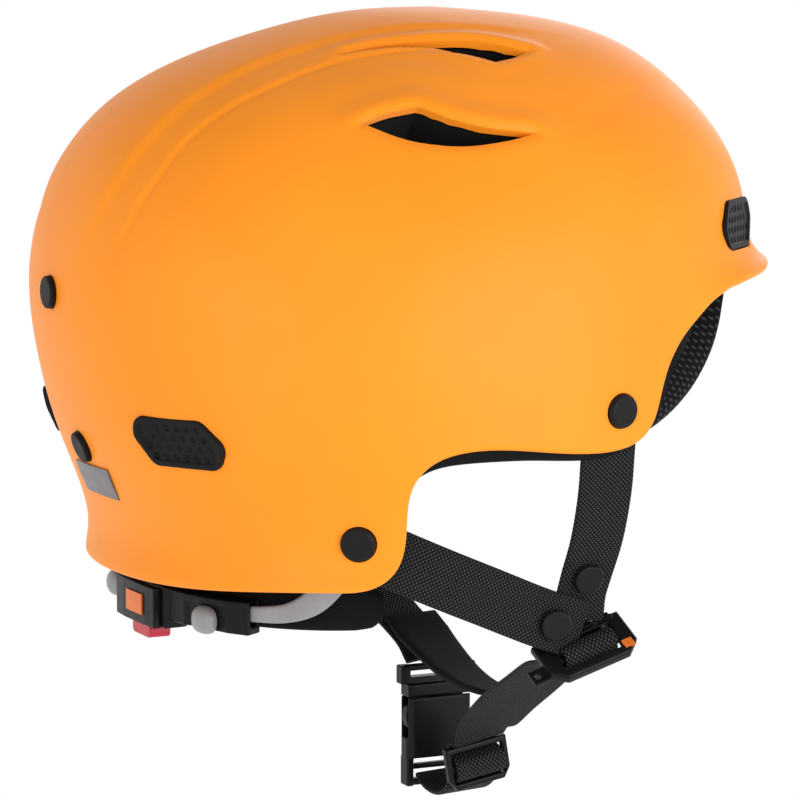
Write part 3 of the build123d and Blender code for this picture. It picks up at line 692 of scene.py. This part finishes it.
def plug_outline(p, n, grow, flip, z_off=0.0):
    """Rounded outline of a quarter plug, in the CAD's own proportions."""
    half, hh = 18.5, 8.5
    pts = [(-half + 1.5, hh), (half - 8.5, hh), (half, -0.5), (half - 3.5, -hh), (-half + 7, -hh), (-half, 1.5)]
    if flip:
        pts = [(-x, y) for x, y in pts][::-1]
    pts = np.array(pts, float)
    m = len(pts)
    out = []
    for i in range(m):
        a, b, c = pts[i - 1], pts[i], pts[(i + 1) % m]
        u = (a - b) / np.linalg.norm(a - b)
        w = (c - b) / np.linalg.norm(c - b)
        ang = math.acos(np.clip(u @ w, -1, 1))
        r = 4.5
        tl = r / math.tan(ang / 2)
        s, e = b + u * tl, b + w * tl
        for k in range(7):
            f = k / 6
            out.append((1 - f) ** 2 * s + 2 * f * (1 - f) * (b + (s + e - 2 * b) * 0.12) + f ** 2 * e)
    out = np.array(out)
    c2 = out.mean(0)
    d = out - c2
    out = c2 + d * (1 + grow / np.linalg.norm(d, axis=1, keepdims=True))
    along = np.cross((0, 0, 1.0), n)
    along /= np.linalg.norm(along)
    upv = np.cross(n, along)
    return p + out[:, :1] * along + out[:, 1:] * upv + n * z_off


def cut(obj, prisms):
    v, f, base = [], [], 0
    for pv, pf in prisms:
        v.append(pv)
        f += [tuple(i + base for i in face) for face in pf]
        base += len(pv)
    cutter = new_object("cutter", np.concatenate(v), f, None, 180)
    fix_normals(cutter)
    mod = obj.modifiers.new("holes", "BOOLEAN")
    mod.operation = "DIFFERENCE"
    mod.solver = "EXACT"
    mod.object = cutter
    dg = bpy.context.evaluated_depsgraph_get()
    me = bpy.data.meshes.new_from_object(obj.evaluated_get(dg))
    obj.modifiers.clear()
    old = obj.data
    obj.data = me
    bpy.data.meshes.remove(old)
    bpy.data.objects.remove(cutter)
    return obj


HALF, ROWS = ((330, 185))
P, PH, TT = cap_grid(SHELL_RIM, HALF, ROWS, 1.0, start=0.006)
N = grid_normals(P)
D = features(P)
OUT = P + N * D[..., None]
IN = (P - N * 3.0 + N * (D * 0.8)[..., None])[::3]
shell = thick_cap("helmet_shell", OUT, IN, M_SHELL, 8, 1.0)

RIVETS = {"rear": (52.6, 19.5), "front": (-35.9, 59.6)}
vent_cuts = []
for kind, outline in (("side", SIDE_VENT), ("top", TOP_VENT)):
    for mir in (False, True):
        vent_cuts.append(prism(outline, VENT_DIR[kind], 14, 22, mir))
plug_cuts, pocket_cuts = [], []
for where, pn, flip in (("rear", rear_at(-57.5, 50.5), False), ("front", surface_at(116.5, 116.5, 1), True)):
    if where == "front":
        pn = surface_at(-101.0, 116.5, -1)
    p, n = pn
    for mir in (False, True):
        plug_cuts.append(prism(plug_outline(p, n, 0.15, flip), n, 9, 9, mir))
for z in (96.0, 43.5):
    p, n = rear_at(0.0001, z)
    plug_cuts.append(prism(disc_outline(p, n, 5.75), n, 6, 8))
for key, (y, z) in RIVETS.items():
    p, n = surface_at(y, z, -1)
    for mir in (False, True):
        plug_cuts.append(prism(disc_outline(p, n, 6.0), n, 6, 8, mir))
cut(shell, vent_cuts + plug_cuts)
shade(shell, 32)
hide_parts("outer_shell")
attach(shell, "helmet")

# ---------------------------------------------------------------- foam liner
HL, RL = ((220, 100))
P2, PH2, TT2 = cap_grid(LINER_RIM, HL, RL, 0.0, start=0.012)
N2 = grid_normals(P2)
liner = thick_cap("liner_foam_body", P2 - N2 * 4.0, (P2 - N2 * 17.0)[::2], M_FOAM, 8, 0.45)
cut(liner, [prism(o, VENT_DIR[k], 14, 26, m) for k, o in (("side", SIDE_VENT), ("top", TOP_VENT)) for m in (False, True)])
shade(liner, 40)
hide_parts("foam_liner")
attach(liner, "helmet")


# ---------------------------------------------------------------- webbing
def unit(v):
    v = np.asarray(v, float)
    return v / np.maximum(np.linalg.norm(v, axis=-1, keepdims=True), 1e-9)


def section(width, thick, edge=0.9, n=9):
    """Rounded flat section: points (across, through) going round once."""
    h, w = thick / 2, width / 2
    top = [(x, h) for x in np.linspace(-w + h * edge, w - h * edge, n)]
    right = [(w - h * edge + h * edge * math.sin(a), h * math.cos(a)) for a in np.linspace(0, math.pi, 6)[1:-1]]
    bottom = [(-x, -y) for x, y in top]
    left = [(-x, -y) for x, y in right]
    return np.array(top + right + bottom + left)


def ribbon(name, pts, wdirs, width, thick, mat, per=12, widths=None, thicks=None, smooth_angle=50):
    """Closed flat band along points, with its own UV in metres along and across."""
    C = catmull(pts, per)
    W = catmull(wdirs, per)
    n = len(C)
    wid = np.full(n, float(width)) if widths is None else np.interp(np.linspace(0, 1, n), np.linspace(0, 1, len(widths)), widths)
    thk = np.full(n, float(thick)) if thicks is None else np.interp(np.linspace(0, 1, n), np.linspace(0, 1, len(thicks)), thicks)
    T = unit(np.gradient(C, axis=0))
    W = unit(W - T * np.sum(W * T, 1, keepdims=True))
    Nn = unit(np.cross(T, W))
    s = np.concatenate([[0], np.cumsum(np.linalg.norm(np.diff(C, axis=0), axis=1))])
    verts, uvs, faces = [], [], []
    m = None
    for i in range(n):
        sec = section(wid[i], thk[i])
        m = len(sec)
        verts.append(C[i] + sec[:, :1] * W[i] + sec[:, 1:] * Nn[i])
        uvs.append(np.stack([np.full(m, s[i]), sec[:, 0]], 1))
    for i in range(n - 1):
        for k in range(m):
            l = (k + 1) % m
            faces.append((i * m + k, i * m + l, (i + 1) * m + l, (i + 1) * m + k))
    faces.append(tuple(range(m))[::-1])
    faces.append(tuple((n - 1) * m + k for k in range(m)))
    o = new_object(name, np.concatenate(verts), faces, mat, 180, np.concatenate(uvs))
    fix_normals(o)
    shade(o, smooth_angle)
    return o


def give(o, body, slot, *nodes):
    if nodes:
        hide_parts(*nodes)
    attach(o, body)
    return o


def mir(pts):
    return [(-p[0], p[1], p[2]) for p in pts]


FRONT_PTS = [(-99.7, -34.6, 67), (-99.4, -35, 53), (-97.3, -35.6, 43), (-94.0, -36.3, 30),
             (-89.2, -36.2, 15), (-84.8, -34.6, 2), (-81.6, -33.8, -7), (-80.1, -33.8, -14.5)]
FRONT_W = [(0, 1, 0)] * 4 + [(0, 1, -0.03), (0, 1, -0.12), (0, 1, -0.24), (0, 1, -0.3)]
REAR_PTS = [(-83.6, 56.0, 21.7), (-84.6, 52.6, 20.2), (-88.4, 38.7, 13.4), (-90.0, 21.6, 5.6),
            (-88.6, 4.0, -2.0), (-86.2, -15.0, -10.2), (-84.4, -27.0, -14.6), (-82.6, -33.5, -16.8)]
REAR_W = [(0, -0.42, 0.9)] * 8
LOCK_O = np.array((-79.0, -34.2, -19.5))
LOCK_B = unit((0, -0.956, 0.295))
LOCK_H = unit((-0.78, -0.18, -0.59))
LOCK_N = unit(np.cross(LOCK_H, LOCK_B))


def lk(h, z, b=0.0):
    return tuple(LOCK_O + LOCK_H * h + LOCK_N * z + LOCK_B * b)


WRAP = [lk(-3.2, -3.4), lk(-0.6, -3.3), lk(1.9, -2.2), lk(3.0, 0.4), lk(4.2, 2.9), lk(6.4, 3.9), lk(8.7, 2.9), lk(9.8, 0.2),
        lk(9.2, -2.6), lk(6.6, -4.2), lk(3.6, -5.2)]
WRAP_W = [tuple(-LOCK_B)] * len(WRAP)
CHIN_PTS = [(-79.5, -33.2, -24.6), (-74.5, -31.2, -27.5), (-66, -31.2, -32.0), (-50, -31.8, -40.8), (-30, -33.2, -51.0),
            (-10, -36.5, -61.5), (3.0, -39.5, -68.0), (9.0, -41.0, -72.6)]
CHIN_W = [(-0.06, -0.95, 0.25), (-0.10, -0.95, 0.15), (-0.159, -0.951, -0.1), (-0.159, -0.951, -0.2), (-0.159, -0.951, -0.265),
          (-0.13, -0.951, -0.2), (-0.05, -0.97, 0.05), (0.0, -0.986, 0.166)]
LEFT_PTS = [(79.5, -33.2, -24.6), (74.5, -31.2, -27.5), (69, -33.0, -32.5), (60.5, -36.0, -38.5), (53.0, -38.6, -44.0), (48.0, -39.8, -49.6)]
LEFT_W = [(0.06, -0.95, 0.25), (0.10, -0.95, 0.15), (0.1, -0.97, 0.08), (0.05, -0.99, 0.0), (0, -1, 0), (0, -1, 0)]

for side, flip in (("right", False), ("left", True)):
    f = mir if flip else (lambda p: p)
    give(ribbon("front_webbing_" + side, f(FRONT_PTS), f(FRONT_W), 20, 1.7, M_WEB), "helmet", "web", "front_strap_" + side)
    give(ribbon("rear_webbing_" + side, f(REAR_PTS), f(REAR_W), 20, 1.7, M_WEB), "helmet", "web", "rear_strap_" + side)
    give(ribbon("lock_wrap_" + side, f(WRAP), f(WRAP_W), 20, 1.7, M_WEB, per=8), "lock_" + side, "web")
give(ribbon("chin_webbing", CHIN_PTS, CHIN_W, 20, 1.7, M_WEB), "helmet", "web", "chin_strap")
give(ribbon("left_chin_webbing", LEFT_PTS, LEFT_W, 20, 1.7, M_WEB), "helmet", "web", "left_chin_strap")


def sl(x, dz):
    return (x, -41.5 + 0.168 * dz, -82.0 + dz)


SW = (0, -0.986, 0.166)
give(ribbon("slider_wrap", [sl(9.2, 9.8), sl(11.5, 8.9), sl(14.4, 7.6), sl(14.2, 4.8), sl(11.4, 3.6), sl(8.8, 2.2), sl(8.1, -0.4),
                            sl(8.9, -3.0), sl(11.4, -4.4), sl(14.2, -5.4), sl(15.2, -8.0)], [SW] * 11, 19.6, 1.6, M_WEB, per=8),
     "socket", "web")
LOOP_PTS = [(14.4, -41.5, -77.0), (15.2, -41.5, -86.0), (18.5, -41.4, -91.6), (25.5, -41.2, -94.6), (32.5, -40.8, -94.8),
            (38.2, -40.4, -92.6), (40.4, -40.2, -90.4)]
LOOP_W = [(0, -0.986, 0.166), (0, -0.986, 0.15), (0, -0.99, 0.1), (0, -1, 0.05), (0, -1, 0), (0, -1, 0), (0, -1, 0)]
give(ribbon("loop_webbing", LOOP_PTS, LOOP_W, 20, 1.7, M_WEB), "socket", "web", "buckle_loop")
GUARD_PTS = [(59.0, -37.4, -35.6), (50.5, -38.0, -40.2), (38, -37.6, -44.2), (20, -36.6, -48.4), (4, -36.0, -50.4),
             (-12, -35.6, -50.6), (-22, -35.6, -49.8)]
guard = give(ribbon("chin_guard_flap", GUARD_PTS, [(0, 1, 0)] * 7, 22, 2.8, M_GUARD, per=14,
                    widths=[21, 22, 20, 17.5, 15, 12.5, 8], thicks=[2.4, 3.0, 3.0, 3.0, 2.8, 2.4, 1.4]), "helmet", "web", "chin_guard")


# ---------------------------------------------------------------- moulded parts
def refine(node, mat, body, slot, voxel=0.35, smooth_iters=5, name=None, factor=0.5):
    """Copy of a CAD piece with its edges softened the way a moulding's are."""
    src = NODES[node]
    me = src.data.copy()
    me.transform(Matrix.Scale(100, 4))
    o = bpy.data.objects.new("tmp", me)
    bpy.context.scene.collection.objects.link(o)
    r = o.modifiers.new("r", "REMESH")
    r.mode = "VOXEL"
    r.voxel_size = voxel * 0.1
    r.adaptivity = 0.0
    s = o.modifiers.new("s", "SMOOTH")
    s.factor = factor
    s.iterations = smooth_iters
    dg = bpy.context.evaluated_depsgraph_get()
    out = bpy.data.meshes.new_from_object(o.evaluated_get(dg))
    bpy.data.objects.remove(o)
    bpy.data.meshes.remove(me)
    out.transform(Matrix.Scale(0.01, 4))
    out.materials.clear()
    out.materials.append(mat)
    piece = bpy.data.objects.new(name or node + "_moulding", out)
    bpy.context.scene.collection.objects.link(piece)
    shade(piece, 180)
    return give(piece, body, slot, node)


BODY_OF = {n: b for b, ns in frame["record"]["behaviour"]["bodies"].items() for n in ns}
for node, mat, slot, vox in (
        ("buckle_plug", M_BLACK, "black", 0.32), ("buckle_prong_rear", M_BLACK, "black", 0.25),
        ("buckle_prong_front", M_BLACK, "black", 0.25), ("buckle_socket", M_BLACK, "black", 0.34),
        ("strap_slider", M_BLACK, "black", 0.28), ("strap_lock_right", M_BLACK, "black", 0.28),
        ("strap_lock_left", M_BLACK, "black", 0.28), ("adjuster_housing", M_BLACK, "black", 0.42),
        ("adjuster_cover", M_BLACK, "black", 0.3), ("release_tab", M_RED, "red", 0.25),
        ("rear_quarter_plug_right", M_PLUG, "black", 0.3), ("rear_quarter_plug_left", M_PLUG, "black", 0.3),
        ("front_quarter_plug_right", M_PLUG, "black", 0.3), ("front_quarter_plug_left", M_PLUG, "black", 0.3)):
    refine(node, mat, BODY_OF[node], slot, vox)

for node, mat, slot in (("rivet_caps", M_CAP, "black"), ("rivet_washers", M_STEEL, "steel"), ("press_stud_caps", M_CAP, "black"),
                        ("rear_plug_upper", M_PLUG, "black"), ("rear_plug_lower", M_PLUG, "black"),
                        ("blank_label", M_LABEL, "label"), ("cradle_badge", M_ORANGE, "print")):
    o = NODES[node]
    o.data.materials.clear()
    o.data.materials.append(mat)


def block(name, mat, body, slot, centre, axes, size, round_mm=0.6):
    """Small rounded block with its own axes."""
    bm = bmesh.new()
    bmesh.ops.create_cube(bm, size=1.0)
    A = np.array([unit(a) for a in axes])
    for v in bm.verts:
        c = np.array(v.co) * np.array(size)
        v.co = Vector((np.array(centre) + c @ A) * MM)
    bmesh.ops.bevel(bm, geom=list(bm.edges), offset=round_mm * MM, segments=3, profile=0.6, affect="EDGES")
    bmesh.ops.recalc_face_normals(bm, faces=bm.faces)
    me = bpy.data.meshes.new(name)
    bm.to_mesh(me)
    bm.free()
    me.materials.append(mat)
    o = bpy.data.objects.new(name, me)
    bpy.context.scene.collection.objects.link(o)
    shade(o, 30)
    return give(o, body, slot)


for side, sx in (("right", 1), ("left", -1)):
    m = np.array((sx, 1, 1))
    ax = [LOCK_B * m, LOCK_H * m, LOCK_N * m]
    for i, b in enumerate((-10.5, -3.5, 3.5, 10.5)):
        block(f"lock_rib_{side}_{i + 1}", M_BLACK, "lock_" + side, "black", np.array(lk(-0.9, 1.9, b)) * m, ax, (4.4, 2.4, 1.3), 0.35)
    block(f"lock_mark_{side}", M_ORANGE, "lock_" + side, "print", np.array(lk(11.6, 1.75, 13.0)) * m, ax, (3.4, 3.0, 0.5), 0.2)


# ---------------------------------------------------------------- rear cradle
ARM = [((-47.0, 79.2, -7.9), 5.0, (-0.36, 0.93, 0)), ((-50.5, 77.6, -7.8), 5.2, (-0.40, 0.92, 0)),
       ((-58.6, 72.8, -7.4), 5.4, (-0.55, 0.83, 0)), ((-66.5, 66.4, -6.2), 6.4, (-0.66, 0.75, 0)),
       ((-72.6, 60.6, -2.6), 8.4, (-0.78, 0.60, -0.15)), ((-77.2, 56.6, 3.4), 10.2, (-0.88, 0.42, -0.25)),
       ((-80.2, 54.2, 10.4), 11.4, (-0.95, 0.2, -0.3)), ((-81.2, 52.8, 18.0), 13.0, (-1, 0, 0)), ((-81.2, 52.6, 23.4), 10.0, (-1, 0, 0)),
       ((-81.2, 52.6, 26.4), 3.0, (-1, 0, 0))]
for side, flip in (("right", False), ("left", True)):
    f = mir if flip else (lambda p: p)
    pts = f([a[0] for a in ARM])
    nv = f([a[2] for a in ARM])
    tang = unit(np.gradient(np.array(pts), axis=0))
    wd = [tuple(np.cross(t, unit(n))) for t, n in zip(tang, nv)]
    arm = ribbon("cradle_arm_body_" + side, pts, wd, 6, 2.2, M_GREY, per=10, widths=[a[1] for a in ARM], smooth_angle=60)
    give(arm, "cradle", "grey", "cradle_arm_" + side)

PATH = [(0, 91.0), (10, 90.9), (20, 90.2), (30, 88.4), (40, 85.6), (50, 81.4), (58, 76.6), (65, 70.6), (71, 63.6), (76, 55.6), (79.5, 47), (81.3, 40.5), (82.0, 36.5)]
path = [(-x, y) for x, y in PATH[:0:-1]] + PATH
pc = []
for i, (x, y) in enumerate(path):
    a = np.array(path[max(0, i - 1)])
    b = np.array(path[min(len(path) - 1, i + 1)])
    t = (b - a) / np.linalg.norm(b - a)
    n = np.array((-t[1], t[0]))
    if n @ np.array((x, y - 10.0)) < 0:
        n = -n
    c = np.array((x, y)) - n * 10.3
    pc.append((c[0], c[1], -5.5))
band = give(ribbon("nape_pad", pc, [(0, 0, 1)] * len(pc), 15.4, 4.2, M_BAND, per=8,
                   widths=[9.0, 14.0] + [15.4] * (len(pc) - 4) + [14.0, 9.0]), "cradle", "pad", "nape_band")


def dome_grip(name, sgn):
    """Grey thumb grip: a smooth half dome on its slide, steeper towards the outer end."""
    g = unit((0.30 * sgn, 0.954, 0))
    u = unit((0.954, -sgn * 0.30, 0))
    o0 = np.array((sgn * 40.4, 84.3, -11.2)) + g * 0.35
    nu, nv = 40, 20
    verts, faces = [], []
    for i in range(nv + 1):
        r = math.sin(math.pi / 2 * i / nv)
        hgt = math.cos(math.pi / 2 * i / nv) ** 0.8
        for j in range(nu):
            a = 2 * math.pi * j / nu
            x = 5.9 * r * math.copysign(abs(math.cos(a)) ** 0.82, math.cos(a)) + 1.2 * sgn * hgt * 0.9
            z = 4.7 * r * math.copysign(abs(math.sin(a)) ** 0.82, math.sin(a))
            x = min(max(x, -5.9), 5.9)
            verts.append(o0 + u * x + np.array((0, 0, 1.0)) * z + g * (hgt * 4.4))
    for i in range(nv):
        for j in range(nu):
            k = (j + 1) % nu
            faces.append((i * nu + j, i * nu + k, (i + 1) * nu + k, (i + 1) * nu + j))
    faces.append(tuple(nv * nu + j for j in range(nu)))
    faces.append(tuple(range(nu))[::-1])
    o = new_object(name, verts, faces, M_GREY, 180)
    fix_normals(o)
    shade(o, 50)
    return o


give(dome_grip("grip_dome_right", -1), "grip_right", "grey", "adjuster_grip_right")
give(dome_grip("grip_dome_left", 1), "grip_left", "grey", "adjuster_grip_left")


# ---------------------------------------------------------------- comfort pads
def open_normals(P):
    n = unit(np.cross(np.gradient(P, axis=1), np.gradient(P, axis=0)))
    c = np.array((0, -10.0, 60.0))
    return np.where(np.sum(n * (P - c), -1, keepdims=True) < 0, -n, n)


def xy_to_pt(x, y):
    lo, hi = np.full_like(x, 0.3), np.full_like(x, 80.0)
    for _ in range(40):
        t = (lo + hi) / 2
        a, b, yc = prof(2, t), prof(3, t), prof(1, t)
        big = (np.abs(x) / b) ** POWER + (np.abs(y - yc) / a) ** POWER > 1
        lo, hi = np.where(big, t, lo), np.where(big, hi, t)
    a, b, yc = prof(2, t), prof(3, t), prof(1, t)
    s = np.sign(x) * (np.abs(x) / b) ** (POWER / 2)
    c = np.sign(y - yc) * (np.abs(y - yc) / a) ** (POWER / 2)
    return np.arctan2(s, c), t


def xz_to_pt(x, z, front):
    t = t_of_z(z)
    s = np.clip(np.sign(x) * (np.abs(x) / prof(3, t)) ** (POWER / 2), -1, 1)
    c = np.sqrt(1 - s * s) * (-1 if front else 1)
    return np.arctan2(s, c), t


def pad(name, P, outer, inner, mat, node):
    """Closed cushion between two offsets of a surface patch."""
    n = open_normals(P)
    A, B = P - n * outer[..., None], P - n * inner[..., None]
    r, c = P.shape[:2]
    su = np.concatenate([np.zeros((r, 1)), np.cumsum(np.linalg.norm(np.diff(P, axis=1), axis=2), 1)], 1)
    sv = np.concatenate([np.zeros((1, c)), np.cumsum(np.linalg.norm(np.diff(P, axis=0), axis=2), 0)], 0)
    uv = np.stack([su, sv], -1).reshape(-1, 2)
    k = r * c
    faces = []
    for i in range(r - 1):
        for j in range(c - 1):
            q = (i * c + j, i * c + j + 1, (i + 1) * c + j + 1, (i + 1) * c + j)
            faces.append(q)
            faces.append(tuple(k + v for v in q[::-1]))
    edge = [(0, j) for j in range(c)] + [(i, c - 1) for i in range(1, r)] + [(r - 1, j) for j in range(c - 2, -1, -1)] + [(i, 0) for i in range(r - 2, 0, -1)]
    for (a, b), (d, e) in zip(edge, edge[1:] + edge[:1]):
        p0, p1 = a * c + b, d * c + e
        faces.append((p1, p0, k + p0, k + p1))
    o = new_object(name, np.concatenate([A.reshape(-1, 3), B.reshape(-1, 3)]), faces, mat, 180, np.concatenate([uv, uv]))
    fix_normals(o)
    shade(o, 180)
    give(o, "helmet", "pad", node)
    return o


def squircle(nu, nv, k=0.55):
    u, v = np.meshgrid(np.linspace(-1, 1, nu), np.linspace(-1, 1, nv))
    return u * np.sqrt(1 - k * v * v / 2), v * np.sqrt(1 - k * u * u / 2), u, v


def crowned(u, v, thick, seams=()):
    h = ((1 - np.abs(u) ** 6) * (1 - np.abs(v) ** 6)) ** 0.5
    h = np.maximum(h, 0.0)
    for axis, pos, w, depth in seams:
        q = u if axis == "u" else v
        h = h * (1 - depth * np.exp(-((q - pos) / w) ** 2))
    return 0.4 + (thick - 0.4) * h


a, b, u, v = squircle(90, 110)
ph, t = xy_to_pt(a * 50.0, -6.0 + b * 64.0)
Pq = surf(ph, t, 0.0)
h = crowned(u, v, 7.4, (("u", -0.36, 0.03, 0.6), ("u", 0.36, 0.03, 0.6), ("v", -0.35, 0.02, 0.6), ("v", 0.35, 0.02, 0.6)))
pad("crown_cushion", Pq, np.full(h.shape, 17.4), 17.4 + h, M_MESH, "crown_pad")
a, b, u, v = squircle(110, 40, 0.4)
ph, t = xz_to_pt(a * 56.0, 117.0 + b * 14.5, True)
h = crowned(u, v, 7.4, (("u", -0.33, 0.02, 0.6), ("u", 0.33, 0.02, 0.6)))
pad("brow_cushion", surf(ph, t, 0.0), np.full(h.shape, 17.4), 17.4 + h, M_MESH, "brow_pad")
a, b, u, v = squircle(100, 44, 0.4)
ph, t = xz_to_pt(a * 50.0, 43.0 + b * 18.0, False)
h = crowned(u, v, 7.4, (("u", 0.0, 0.02, 0.6),))
pad("rear_cushion", surf(ph, t, 0.0), np.full(h.shape, 17.4), 17.4 + h, M_MESH, "rear_pad")

rim = catmull(TEMPLE_RIM[2:11], 8)
sr = np.concatenate([[0], np.cumsum(np.linalg.norm(np.diff(rim, axis=0), axis=1))])
uu = np.linspace(0, 1, 80)
R = np.stack([np.interp(uu * sr[-1], sr, rim[:, 0]), np.interp(uu * sr[-1], sr, rim[:, 1])], -1)
top = np.stack([-103 + 56 * uu, 110 - 12 * uu], -1)
vv = np.linspace(0, 1, 60)[:, None, None]
YZ = R[None] * (1 - vv) + top[None] * vv
t = t_of_z(YZ[..., 1])
ph = phi_of_y(YZ[..., 0], t, 0.0)
V = np.broadcast_to(vv[..., 0], t.shape)
U = np.broadcast_to(uu[None], t.shape)
endf = (1 - np.abs(2 * U - 1) ** 8) ** 0.5
edge = np.sqrt(1 - (1 - np.clip(V / 0.12, 0, 1)) ** 2)
topf = np.sqrt(1 - (1 - np.clip((1 - V) / 0.12, 0, 1)) ** 2)
g = np.maximum(edge * topf * endf, 0.03)
mid = 9.5 + (21.2 - 9.5) * smooth((V - 0.06) / 0.36)
half_t = (5.3 + (3.7 - 5.3) * smooth((V - 0.06) / 0.36)) * g
for side, s in (("right", -1), ("left", 1)):
    Pt = surf(ph * s, t, 0.0)
    pad("temple_cushion_" + side, Pt, mid - half_t, mid + half_t, M_MESH, "temple_pad_" + side)
